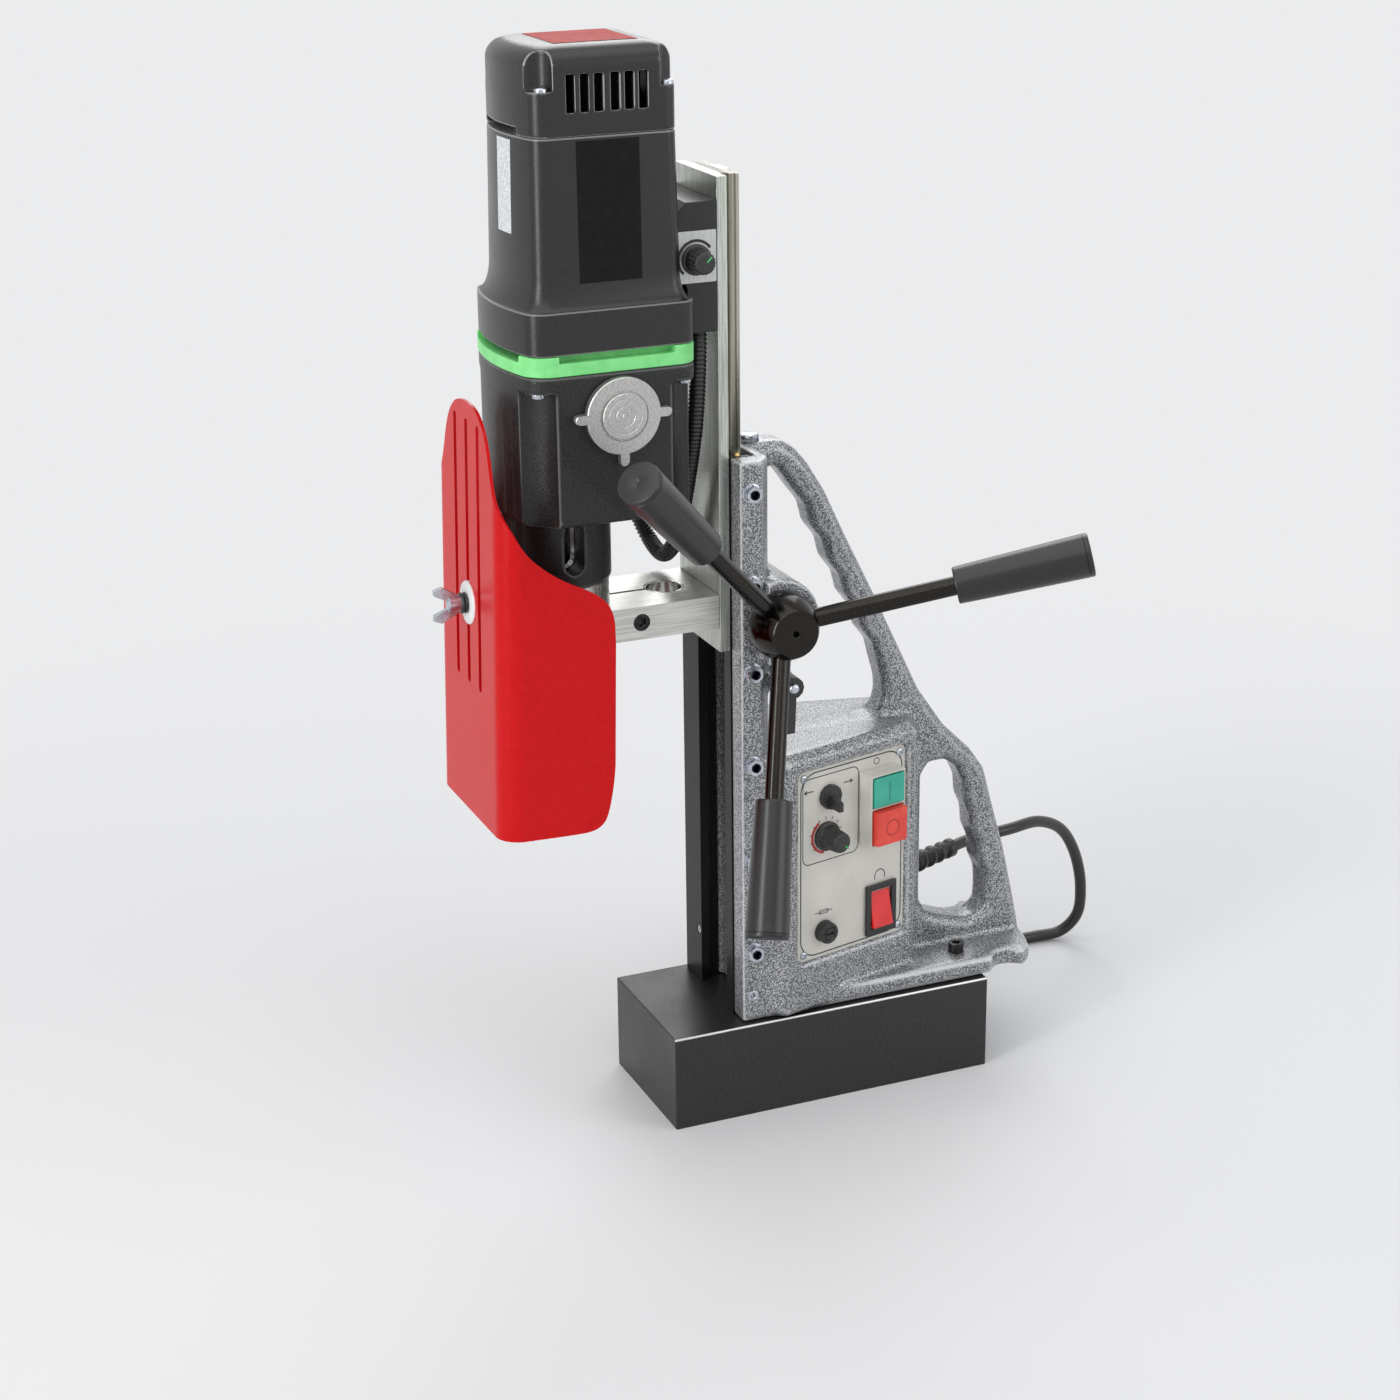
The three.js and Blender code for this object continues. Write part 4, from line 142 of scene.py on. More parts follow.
# Floor: a plain pale sheet that keeps the machine's shadow near it and fades into the backdrop further out.
def surface(name, points, loop_rows=False, loop_columns=False, caps=False):
    """A mesh over a grid of points, rows by columns by three: neighbouring points make one quad each. The
    last row or column meets the first where looped, and caps close the first and last row with one face."""
    points = np.asarray(points, float)
    rows, columns = points.shape[:2]
    number = np.arange(rows * columns).reshape(rows, columns)
    if loop_rows:
        number = np.vstack([number, number[:1]])
    if loop_columns:
        number = np.hstack([number, number[:, :1]])
    corners = (number[:-1, :-1], number[:-1, 1:], number[1:, 1:], number[1:, :-1])
    faces = np.stack([c.ravel() for c in corners], axis=1).tolist()
    if caps:
        faces.append(list(range(columns))[::-1])
        faces.append(list(range((rows - 1) * columns, rows * columns)))
    mesh = bpy.data.meshes.new(name)
    mesh.from_pydata(points.reshape(-1, 3).tolist(), [], faces)
    return piece_of(name, mesh)


def new_paint(name):
    """A material, its node tree and its shader."""
    paint = bpy.data.materials.new(name)
    paint.use_nodes = True
    return paint, paint.node_tree, paint.node_tree.nodes["Principled BSDF"]


floor = surface("floor", [[(6, -6, 0), (6, 6, 0)], [(-6, -6, 0), (-6, 6, 0)]])
floor_paint, tree, floor_shade = new_paint("floor_paint")
spot = add(tree, "TexCoord").outputs["Object"]
tint = add(tree, "ValToRGB", [("Fac", add(tree, "TexNoise", [("Vector", spot)], Scale=3.0))])
tint.color_ramp.elements[0].color = (0.79, 0.795, 0.805, 1)
tint.color_ramp.elements[1].color = (0.82, 0.825, 0.835, 1)
feed(tree, floor_shade, [("Roughness", 0.75), ("Specular IOR Level", 0.2), ("Base Color", tint)])
distance = add(tree, "VectorMath", [(0, spot)], operation="LENGTH").outputs["Value"]
faded = add(tree, "MapRange", [("Value", distance)], interpolation_type="SMOOTHSTEP", From_Min=0.4, From_Max=1.1)
share = combined(tree, "MULTIPLY", faded, seen_rays(tree))
blended(tree, share, floor_shade, add(tree, "Emission", Color=backdrop_colour), tree.nodes["Material Output"])
floor.data.materials.append(floor_paint)


# Mains lead: round black rubber cable, 8 mm thick. It leaves the ribbed sleeve on the rear of the
# housing, hangs to the floor behind the machine, and the rest is wound beside it, ending in the plug.
def node_group(name, inputs, *outputs):
    """A shader node group, its inputs and its end. Inputs are (name, value) pairs, outputs are names."""
    group = bpy.data.node_groups.new(name, "ShaderNodeTree")
    for label, value in inputs:
        kind = "NodeSocketVector" if isinstance(value, tuple) else "NodeSocketFloat"
        group.interface.new_socket(label, in_out="INPUT", socket_type=kind).default_value = value
    for label in outputs:
        group.interface.new_socket(label, in_out="OUTPUT", socket_type="NodeSocketFloat")
    return group, group.nodes.new("NodeGroupInput").outputs, group.nodes.new("NodeGroupOutput")


def make_grain():
    """Texture group: stretched noise on Object coordinates, given as a height and as a contrasted mask."""
    sockets = [("Scale", 400.0), ("Stretch", (1.0, 1.0, 1.0)), ("Detail", 3.0), ("Low", 0.4), ("High", 0.6)]
    group, given, out = node_group("surface_grain", sockets, "Height", "Mask")
    spot = add(group, "TexCoord").outputs["Object"]
    scaled = combined(group, "MULTIPLY", spot, given["Stretch"], "VectorMath")
    noise = add(group, "TexNoise", [("Vector", scaled), ("Scale", given["Scale"]), ("Detail", given["Detail"])])
    edges = [("Value", noise), ("From Min", given["Low"]), ("From Max", given["High"])]
    feed(group, out, [("Height", noise), ("Mask", add(group, "MapRange", edges, interpolation_type="SMOOTHSTEP"))])
    return group


def make_handling():
    """Texture group: the dulling of use, as large smears with fine dust in them, from 0 to Amount."""
    group, given, out = node_group("handling", [("Amount", 0.1), ("Scale", 1.0)], "Dull")
    spot = add(group, "TexCoord").outputs["Object"]
    smear_size = combined(group, "MULTIPLY", given["Scale"], 22)
    smear = add(group, "TexNoise", [("Vector", spot), ("Scale", smear_size)], Detail=6.0)
    dust = add(group, "TexNoise", [("Vector", spot)], Scale=900.0, Detail=2.0)
    both = combined(group, "MULTIPLY", smear, dust)
    range_pairs = [("Value", both), ("To Max", given["Amount"])]
    feed(group, out, [("Dull", add(group, "MapRange", range_pairs, From_Min=0.15, From_Max=0.4))])
    return group


surface_grain, handling = make_grain(), make_handling()


def placed(tree, group, **values):
    """A node that places a texture group in a material with its own values."""
    node = tree.nodes.new("ShaderNodeGroup")
    node.node_tree = group
    feed(tree, node, values.items())
    return node


def finish(name, dark, light, rough, metal=0.0, grain=400.0, bump=0.0, depth=0.0002, dull=0.1, detail=3.0,
           stretch=(1, 1, 1), mask=(0.4, 0.6), **sockets):
    """A finish: two tones mixed by the grain, a roughness that handling raises, and the grain as a bump. A
    tone is a colour or, as one number, a grey."""
    paint, tree, shade = new_paint(name)
    texture = placed(tree, surface_grain, Scale=grain, Stretch=stretch, Detail=detail, Low=mask[0], High=mask[1])
    dark, light = ((*(tone if isinstance(tone, tuple) else (tone,) * 3), 1) for tone in (dark, light))
    tones = add(tree, "Mix", data_type="RGBA")
    feed(tree, tones, [("Factor", texture.outputs["Mask"]), (6, dark), (7, light)])
    total = combined(tree, "ADD", placed(tree, handling, Amount=dull), rough)
    feed(tree, shade, [("Base Color", tones.outputs[2]), ("Roughness", total), ("Metallic", metal)])
    if bump:
        relief = add(tree, "Bump", [("Height", texture.outputs["Height"])], Strength=bump, Distance=depth)
        feed(tree, shade, [("Normal", relief)])
    feed(tree, shade, [(key.replace("_", " "), value) for key, value in sockets.items()])
    return paint


def carried(points, radius, sides):
    """Rings of points round a path: at each path point a circle of the radius there, square to the path and
    carried along it without twist."""
    heading = np.gradient(points, axis=0)
    heading[0], heading[-1] = points[1] - points[0], points[-1] - points[-2]
    heading /= np.linalg.norm(heading, axis=1)[:, None]
    start = np.array((1.0, 0, 0)) if abs(heading[0][0]) < 0.7 else np.array((0, 0, 1.0))
    out = []
    for direction in heading:
        start = unit(start - direction * start.dot(direction))
        out.append(start)
    out = np.array(out)
    turn = np.linspace(0, 2 * math.pi, sides, endpoint=False)[None, :, None]
    ring = np.cos(turn) * out[:, None] + np.sin(turn) * np.cross(heading, out)[:, None]
    return points[:, None] + np.broadcast_to(radius, len(points))[:, None, None] * ring


def smooth(piece, angle=35):
    """Smooth shading, with edges sharper than the angle kept sharp."""
    piece.data.shade_smooth()
    piece.data.set_sharp_from_angle(angle=math.radians(angle))
    return piece


def copied(node, name):
    """A new piece with a copy of a CAD node's faces, merged into one skin with its flat faces joined."""
    shape = bmesh.new()
    shape.from_mesh(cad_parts[node].data)
    bmesh.ops.remove_doubles(shape, verts=shape.verts, dist=2e-6)
    bmesh.ops.dissolve_limit(shape, angle_limit=math.radians(0.5), verts=shape.verts, edges=shape.edges)
    bmesh.ops.recalc_face_normals(shape, faces=shape.faces)
    mesh = bpy.data.meshes.new(name)
    shape.to_mesh(mesh)
    shape.free()
    return piece_of(name, mesh)


def eased(piece, width, steps=3, angle=30):
    """Rounds every edge sharper than the angle by a bevel of the width in mm."""
    bevel = piece.modifiers.new("rounded_edges", "BEVEL")
    bevel.width, bevel.segments = width / 1000, steps
    bevel.limit_method, bevel.angle_limit = "ANGLE", math.radians(angle)
    bevel.harden_normals = True
    return smooth(piece, 40)


def fit(piece, paint, body, *nodes, slot):
    """Gives a piece its finish and its body, and hides the CAD nodes that it stands for. The slot is not used."""
    piece.data.materials.clear()
    piece.data.materials.append(paint)
    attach(piece, body)
    if nodes:
        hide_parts(*nodes)
    return piece


def dress(node, name, width, paint, slot, body="stand", steps=3):
    """A CAD node's faces with rounded edges, as the piece that stands for the node."""
    return fit(eased(copied(node, name), width, steps), paint, body, node, slot=slot)


def run_of(points):
    """Length along a path up to each of its points."""
    return np.concatenate([[0], np.cumsum(np.linalg.norm(np.diff(points, axis=0), axis=1))])


def centripetal(points, count):
    """Points evenly spaced along a centripetal Catmull-Rom curve through the given points."""
    points = np.vstack([2 * points[0] - points[1], points, 2 * points[-1] - points[-2]])
    knots = np.concatenate([[0], np.cumsum(np.linalg.norm(np.diff(points, axis=0), axis=1) ** 0.5)])
    fine = []
    for i in range(1, len(points) - 2):
        a, b, c, d = points[i - 1 : i + 3]
        ta, tb, tc, td = knots[i - 1 : i + 3]
        t = np.linspace(tb, tc, 60, endpoint=False)[:, None]
        ab = (tb - t) / (tb - ta) * a + (t - ta) / (tb - ta) * b
        bc = (tc - t) / (tc - tb) * b + (t - tb) / (tc - tb) * c
        cd = (td - t) / (td - tc) * c + (t - tc) / (td - tc) * d
        abc = (tc - t) / (tc - ta) * ab + (t - ta) / (tc - ta) * bc
        bcd = (td - t) / (td - tb) * bc + (t - tb) / (td - tb) * cd
        fine.append((tc - t) / (tc - tb) * abc + (t - tb) / (tc - tb) * bcd)
    fine = np.vstack(fine + [points[-2:-1]])
    run = run_of(fine)
    return np.stack([np.interp(np.linspace(0, run[-1], count), run, fine[:, k]) for k in range(3)], axis=1)


def panel_place(points):
    """Points (out, across, up) in the turned panel's frame, in mm, as points of the scene in mm."""
    out, across, up = np.moveaxis(np.asarray(points, float), -1, 0)
    sine, cosine = math.sin(panel_turn), math.cos(panel_turn)
    return np.stack([50 + out * cosine - across * sine, -26.4 + out * sine + across * cosine, 99 + up], axis=-1)


# The sleeve leaves the rear slope of the housing: the slope follows from the panel's rear corner.
panel_turn, panel_width, frame_width, rear_end = math.radians(13.4), 86.5, 7, 77
rear = panel_place((2.5, panel_width + frame_width, 0))
slope = (rear_end - rear[1]) / rear[0]
sleeve_x, sleeve_z, sleeve_length = -23, 113, 0.0703
sleeve_start = np.array((sleeve_x, rear_end + slope * sleeve_x, sleeve_z)) / 1000
sleeve_heading = np.array((-slope, 1, 0)) / math.hypot(slope, 1)
cord_exit = sleeve_start + sleeve_heading * sleeve_length
hand_points = np.array((
    (-58, 184, 114), (-70, 214, 110), (-80, 238, 96), (-87, 254, 72), (-91, 262, 44), (-95, 262, 20),
    (-100, 252, 7), (-104, 234, 4.4), (-104, 205, 4.4), (-98, 175, 4.4), (-88, 145, 4.4), (-80, 118, 4.4),
)) / 1000
coil_x, coil_y, coil_inner, coil_pitch, coil_floor, plug_height = -0.128, 0.062, 0.033, 0.0089, 0.0043, 0.011
coil_outer, lead_in, tail_run = coil_inner + 2 * coil_pitch, 0.009, 0.078
landing = np.array([(coil_x + coil_outer, coil_y + 0.0093 + d, coil_floor) for d in (0.032, 0.016, 0)])
free_path = centripetal(np.vstack([[cord_exit, cord_exit + sleeve_heading * 0.016], hand_points, landing]), 150)


def wound_path(steps):
    """The coil's line: four flat spirals of two turns, in and out again by turns, each a layer higher, with
    the climb in the half turn round each change, then a tail that comes down by a cosine to the plug."""
    turn = np.arange(8 * steps + 1) / steps
    layer = np.minimum(turn // 2, 3)
    within = coil_pitch * (turn - 2 * layer)
    radius = np.where(layer % 2 == 0, coil_outer - within, coil_inner + within)
    nearest = np.round(turn / 2)
    offset = turn - 2 * nearest
    climbing = (nearest > 0) & (nearest < 4) & (np.abs(offset) < 0.25)
    level = coil_floor + coil_pitch * np.where(climbing, nearest - 0.5 + 2 * offset, layer)
    angle = -2 * math.pi * turn
    coil = np.stack([coil_x + radius * np.cos(angle), coil_y + radius * np.sin(angle), level], axis=1)
    share = np.linspace(0, 1, 25)[1:]
    top = coil_floor + 3 * coil_pitch
    drop = top - (top - plug_height) * (1 - np.cos(math.pi * share)) / 2
    outer_x = coil_x + coil_outer
    tail = np.stack([np.full(24, outer_x), coil_y - tail_run * share, drop], axis=1)
    first, last = (outer_x, coil_y + lead_in, coil_floor), (outer_x, coil_y - tail_run - lead_in, plug_height)
    return np.vstack([first, coil, tail, last])


whole_path, cord_thick = np.vstack([free_path, wound_path(48)]), 0.008
cord_rubber = finish("cord_rubber", (0.012, 0.0115, 0.011), (0.02, 0.019, 0.018), 0.28, grain=700.0, bump=0.2,
                     dull=0.12)
plug = dress("mains_plug", "lead_plug", 1.2, cord_rubber, "cord_rubber")
mains_cord = smooth(surface("mains_lead", carried(whole_path, cord_thick / 2, 16), loop_columns=True, caps=True))
fit(mains_cord, cord_rubber, "stand", "mains_cord", "cord_coil", slot="cord_rubber")


# Magnet: a block of mild steel, 100 by 220 by 63 mm, with a winding sunk into its ground underside and
# sealed with resin. It is enamelled black, and its upper near edge is worn to bare steel.
def kept(paint, *names):
    """CAD nodes that stay as they are, with this finish."""
    for name in names:
        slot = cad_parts[name].material_slots[0]
        slot.link, slot.material = "OBJECT", paint


def make_bare_edge():
    """Texture group: 1 where a point lies further along a direction than Start, fading in over Width, both in
    metres, broken up a little by noise as worn paint is."""
    sockets = [("Direction", (1.0, 0.0, 0.0)), ("Start", 0.0), ("Width", 0.0004)]
    group, given, out = node_group("bare_edge", sockets, "Mask")
    spot = add(group, "TexCoord").outputs["Object"]
    along = combined(group, "DOT_PRODUCT", spot, given["Direction"], "VectorMath").outputs["Value"]
    noise = add(group, "TexNoise", [("Vector", spot)], Scale=300.0, Detail=4.0)
    sway = combined(group, "MULTIPLY", noise, 0.0004)
    moved = combined(group, "SUBTRACT", along, sway)
    past = combined(group, "SUBTRACT", moved, given["Start"])
    share = combined(group, "DIVIDE", past, given["Width"], use_clamp=True)
    feed(group, out, [("Mask", share)])
    return group


bare_edge = make_bare_edge()


def layered(paint, mask, colour, rough, metal):
    """Lays a second finish over a first where the mask is 1."""
    tree = paint.node_tree
    for name, value in (("Base Color", (*colour, 1)), ("Roughness", rough), ("Metallic", metal)):
        kind, first, second, result = ("RGBA", 6, 7, 2) if name == "Base Color" else ("FLOAT", 2, 3, 0)
        socket = tree.nodes["Principled BSDF"].inputs[name]
        under = socket.links[0].from_socket if socket.is_linked else socket.default_value
        mix = add(tree, "Mix", [(0, mask), (first, under), (second, value)], data_type=kind)
        tree.links.new(mix.outputs[result], socket)


black_enamel = finish("black_enamel", (0.011, 0.011, 0.012), (0.018, 0.018, 0.019), 0.3, grain=500.0, detail=4.0,
                      bump=0.2, dull=0.16)
tree = black_enamel.node_tree
near, high, low = (placed(tree, bare_edge, Direction=direction, Start=start, Width=0.0003)
                   for direction, start in (((1, 0, 0), 0.0488), ((0, 0, 1), 0.0615), ((0, 0, -1), -0.0007)))
edge = combined(tree, "MULTIPLY", near, high)
bare = combined(tree, "MAXIMUM", edge, low)
layered(black_enamel, bare, (0.72, 0.72, 0.71), 0.3, 1.0)
dress("magnet_body", "magnet_block", 0.9, black_enamel, "magnet_steel")
copper = finish("wound_copper", (0.5, 0.19, 0.07), (0.72, 0.32, 0.14), 0.35, 1.0, 900.0, 0.5, detail=2.0,
                stretch=(0.1, 0.1, 3))
resin = finish("potting_resin", (0.012, 0.012, 0.014), (0.03, 0.028, 0.03), 0.25, grain=120.0, bump=0.2)
kept(copper, "magnet_coil")
kept(resin, "magnet_potting")


# Stand: one iron casting with the column for the slide, the hollow control housing, the foot and the two
# handles, sprayed with silver-grey hammer-finish paint and bolted down on the magnet.
def settled(piece):
    """Applies a piece's modifiers to its mesh."""
    shown = piece.evaluated_get(bpy.context.evaluated_depsgraph_get())
    mesh = bpy.data.meshes.new_from_object(shown)
    piece.modifiers.clear()
    piece.data = mesh
    mesh.name = piece.name
    return piece


def marked(piece, values):
    """Stores a number for each point of a piece, as the attribute edge."""
    piece.data.attributes.new("edge", "FLOAT", "POINT").data.foreach_set("value", values.astype(np.float32))


def moulded(piece, cell, passes):
    """The soft-edged skin of a casting or moulding: the shape is rebuilt from even cells of the given size in
    mm, then each point is averaged with its neighbours the given number of times. The attribute edge says how
    sharply the skin bends outwards: the distance from the point inwards to the mean of its neighbours, over the
    cell."""
    cells = piece.modifiers.new("cells", "REMESH")
    cells.mode, cells.voxel_size = "VOXEL", cell / 1000
    ease = piece.modifiers.new("ease", "SMOOTH")
    ease.factor, ease.iterations = 0.5, passes
    mesh = settled(piece).data
    mesh.shade_smooth()
    points, normals = np.empty(len(mesh.vertices) * 3), np.empty(len(mesh.vertices) * 3)
    ends = np.empty(len(mesh.edges) * 2, int)
    mesh.vertices.foreach_get("co", points)
    mesh.vertices.foreach_get("normal", normals)
    mesh.edges.foreach_get("vertices", ends)
    points, normals, ends = points.reshape(-1, 3), normals.reshape(-1, 3), ends.reshape(-1, 2)
    total, count = np.zeros_like(points), np.zeros(len(points))
    for here, there in (ends.T, ends.T[::-1]):
        np.add.at(total, here, points[there])
        np.add.at(count, here, 1)
    marked(piece, ((points - total / np.maximum(count, 1)[:, None]) * normals).sum(axis=1) / (cell / 1000))
    return piece


def painted_edge_highlight(paint, colour, rough, low=0.05, high=0.13):
    """Lays a lighter, smoother finish on the edges of a moulded piece, where the attribute edge is high: a painted
    highlight along those edges.
    """
    edge = add(paint.node_tree, "Attribute", attribute_name="edge").outputs["Fac"]
    share = add(paint.node_tree, "MapRange", [("Value", edge), ("From Min", low), ("From Max", high)])
    layered(paint, share, colour, rough, 0.0)


def make_hammer():
    """Texture group: the cells of hammer-finish paint. A smooth cell pattern, its points swayed by noise, gives
    pale islands in a dark net, and the distance from a cell's middle is the height of the dimples."""
    group, given, out = node_group("hammer_cells", [("Cells", 600.0)], "Pale", "Height")
    spot = add(group, "TexCoord").outputs["Object"]
    sway = add(group, "TexNoise", [("Vector", spot)], Scale=600.0, Detail=2.0).outputs["Color"]
    push = add(group, "VectorMath", [(0, sway), ("Scale", 0.001)], operation="SCALE")
    moved = combined(group, "ADD", spot, push, "VectorMath")
    cells = add(group, "TexVoronoi", feature="SMOOTH_F1")
    feed(group, cells, [("Vector", moved), ("Scale", given["Cells"]), ("Smoothness", 0.35)])
    pale = add(group, "MapRange", [("Value", cells.outputs["Distance"])], interpolation_type="SMOOTHSTEP",
               From_Min=0.62, From_Max=0.22, To_Min=0.0, To_Max=1.0)
    patches = add(group, "TexNoise", [("Vector", spot)], Scale=1500.0, Detail=1.0)
    flecks = add(group, "MapRange", [("Value", patches)], From_Min=0.35, From_Max=0.65)
    both = combined(group, "MULTIPLY", pale, flecks)
    eased_sum = combined(group, "ADD", both, pale)
    share = combined(group, "MULTIPLY", eased_sum, 0.6, use_clamp=True)
    feed(group, out, [("Pale", share), ("Height", pale)])
    return group


hammer_paint = finish("hammer_paint", (0.17, 0.18, 0.195), (0.5, 0.51, 0.52), 0.3, 0.5, dull=0.12,
                      Coat_Weight=0.5, Coat_Roughness=0.16)
tree = hammer_paint.node_tree
cells = placed(tree, make_hammer(), Cells=1000.0)
cell_tones = add(tree, "Mix", data_type="RGBA")
feed(tree, cell_tones, [(0, cells), (6, (0.125, 0.131, 0.14, 1)), (7, (0.6, 0.61, 0.625, 1))])
dimples = add(tree, "Bump", [("Height", cells.outputs["Height"])], Strength=0.5, Distance=0.00022)
feed(tree, tree.nodes["Principled BSDF"], [("Base Color", cell_tones.outputs[2]), ("Normal", dimples)])
# Painted highlight: a paler, smoother paint on the casting's rounded edges stands in for the light that they catch.
painted_edge_highlight(hammer_paint, (0.66, 0.67, 0.68), 0.22, 0.05, 0.15)
casting = moulded(copied("stand_casting", "stand"), 1.8, 5)
fit(casting, hammer_paint, "stand", "stand_casting", slot="hammered_casting")


# Fastenings of the stand: the six gib screws with their locknuts, bright zinc, the hexagon screw on the
# column's top, the two black socket screws that hold the foot to the magnet, and small ones on the side.
def outward(piece):
    """Turns a closed piece's faces outwards."""
    shape = bmesh.new()
    shape.from_mesh(piece.data)
    bmesh.ops.recalc_face_normals(shape, faces=shape.faces)
    shape.to_mesh(piece.data)
    shape.free()
    return piece


def solid(name, rings, hollow=False):
    """A closed piece from rings of points in mm. Where hollow, its last ring meets its first."""
    return outward(surface(name, np.asarray(rings) / 1000, loop_rows=hollow, loop_columns=True, caps=not hollow))


def levels_of(outline, levels):
    """Rings for a solid: an outline of (y, z) pairs at each of the levels along x."""
    return [np.column_stack([np.full(len(outline), x), outline]) for x in levels]


def around(count):
    """Even angles round a circle."""
    return np.linspace(0, 2 * math.pi, count, endpoint=False)


def square_to(axis):
    """Two directions square to an axis and to each other."""
    first = unit(np.cross(axis, (0, 0, 1) if abs(axis[2]) < 0.9 else (1, 0, 0)))
    return first, np.cross(axis, first)


UP, NEAR, SPINDLEWARDS = (0, 0, 1), (1, 0, 0), (0, -1, 0)


def turned(name, rows, centre, axis, sides, wave=None, angle=30, hollow=False):
    """A closed turned piece in mm. Each row (radius, height, sixness) is a ring round the axis at that height
    over the centre. With sixness 1 it is a hexagon: the distance to a flat over the cosine of the angle from
    the flat's middle. A wave multiplies the radius by a function of the angle and the height."""
    rows = np.array([(*row, 0)[:3] for row in rows], float)
    axis = unit(np.asarray(axis, float))
    first, second = square_to(axis)
    turn = around(sides)[None]
    hexagon = 1 / np.cos((turn + math.pi / 6) % (math.pi / 3) - math.pi / 6)
    radius = rows[:, :1] * (1 + rows[:, 2:] * (hexagon - 1))
    if wave:
        radius = radius * wave(turn, rows[:, 1:2])
    ring = np.cos(turn)[..., None] * first + np.sin(turn)[..., None] * second
    points = np.asarray(centre, float) + radius[..., None] * ring + rows[:, 1][:, None, None] * axis
    return smooth(solid(name, points, hollow), angle)


def joined(name, parts):
    """One piece made of several."""
    with bpy.context.temp_override(active_object=parts[0], object=parts[0], selected_editable_objects=parts):
        bpy.ops.object.join()
    parts[0].name = parts[0].data.name = name
    return parts[0]


def shaped(piece, cutters, operation="DIFFERENCE"):
    """Cuts pieces out of a piece, or adds them to it, and uses them up."""
    for cutter in cutters:
        step = piece.modifiers.new("shape", "BOOLEAN")
        step.operation, step.object, step.solver = operation, cutter, "EXACT"
    settled(piece)
    for cutter in cutters:
        bpy.data.objects.remove(cutter)
    return piece


def socket_rows(radius, height, socket, depth, edge=0.5):
    """Rows of a round head with a hexagon socket: up the side, round the edge, across and down the socket."""
    low = height - depth
    return [(radius, 0), (radius, height - edge), (radius - edge * 0.3, height - edge * 0.3), (radius - edge, height),
            (socket + 0.35, height, 1), (socket, height - 0.4, 1), (socket, low, 1), (socket * 0.5, low - 0.4, 1)]


def nut_rows(flat, height, bore):
    """Rows of a chamfered nut: a hexagon that a cone rounds off at both faces, with a bore."""
    corner = flat * 0.985
    return [(corner, 0, 0.25), (flat, height * 0.14, 1), (flat, height * 0.84, 1), (corner, height, 0.25),
            (bore, height), (bore, 0.3)]


zinc = finish("bright_zinc", (0.44, 0.46, 0.51), (0.56, 0.59, 0.65), 0.2, 1.0, 350.0, 0.08, 0.0001)
black_oxide = finish("black_oxide", (0.02, 0.02, 0.021), (0.045, 0.044, 0.043), 0.34, 0.75, 700.0, 0.15, 0.0001)
blued = finish("blued_steel", (0.012, 0.013, 0.03), (0.03, 0.032, 0.06), 0.42, 0.9, 700.0, 0.1, 0.0001)
gib_parts, gib_studs = [], []
stud_rows = [(2.85 - 0.3 * (k % 2), 0.45 * k) for k in range(14)]
stud_rows += [(2.8, 5.9), (2.7, 6.1, 0.5), (2.55, 5.9, 1), (2.45, 0.8, 1)]
seat_rows = [(5.9, -0.6), (5.9, 0.1), (5.7, 0.2), (2.9, 0.2)]
gib_x, gib_y, seat_thick = 45.7, -54.3, 0.2
for height in (408, 351, 296, 236, 174, 111):
    wall, nut_start = (gib_x, gib_y, height), (gib_x + seat_thick, gib_y, height)
    gib_studs.append(turned("gib_thread", stud_rows, wall, NEAR, 24))
    gib_parts.append(turned("gib_nut", nut_rows(4.9, 5, 3.0), nut_start, NEAR, 36))
    gib_parts.append(turned("gib_seat", seat_rows, wall, NEAR, 36))
fit(joined("gib_screws", gib_parts), zinc, "stand", *(f"gib_screw_{i}" for i in range(1, 7)), slot="zinc")
fit(joined("gib_studs", gib_studs), blued, "stand", slot="zinc")
top_rows = [(5.3, 0, 0.3), (5.35, 0.5, 1), (5.35, 4.2, 1), (5.1, 4.9, 0.2), (4.4, 5)]
fit(turned("column_screw", top_rows, (0, -36, 427), UP, 36), zinc, "stand", "top_bolt", slot="zinc")


def knurl(turn, height):
    """The fine ribs round a socket screw's head."""
    return 1 + 0.012 * np.cos(24 * turn) * (height < 5.2) * (height > 0.5)


bolt_rows = [(5, 0), (5, 0.6), (5, 1.5), (5, 3), (5, 4.4)] + socket_rows(5, 6, 2.5, 3)[1:]
for node, x in (("foot_bolt_near", 28), ("foot_bolt_far", -28)):
    bolt = turned(node + "_head", bolt_rows, (x, 98, 75.5), UP, 96, knurl)
    fit(bolt, black_oxide, "stand", node, slot="black_screws")
side_screw = turned("column_side_screw", socket_rows(3.6, 0.9, 1.7, 2.2, 0.3), (45.4, -55, 81), NEAR, 36)
fit(side_screw, zinc, "stand", slot="zinc")

# Ways: two ground steel bars between which the slide runs. The far one is held by a screw in a counterbore, and
# the near one is a gib that the six side screws press. The brass end of its oil wick stands out at the top.
# Painted shade: the ground steel ways get a near-black, barely reflecting finish that stands in for the shade they lie
# in beside the slide.
way_steel_painted_shade = finish("way_steel_painted_shade", (0.009, 0.0085, 0.008), (0.015, 0.0138, 0.0128), 0.3, 0.0, 2200.0, 0.25, 0.0001,
                   stretch=(1, 1, 0.02), Specular_IOR_Level=0.15)
brass = finish("bush_brass", (0.6, 0.42, 0.16), (0.8, 0.6, 0.28), 0.24, 1.0, 1500.0, 0.3, 0.0001, stretch=(1, 1, 0.03))
way_hole = turned("counterbore", [(2.9, -1.5), (2.9, 3)], (-24.6, -61.9, 99), SPINDLEWARDS, 36)
far_way = shaped(copied("fixed_way", "far_way"), [way_hole])
fit(eased(far_way, 0.4), way_steel_painted_shade, "stand", "fixed_way", slot="dark_steel")
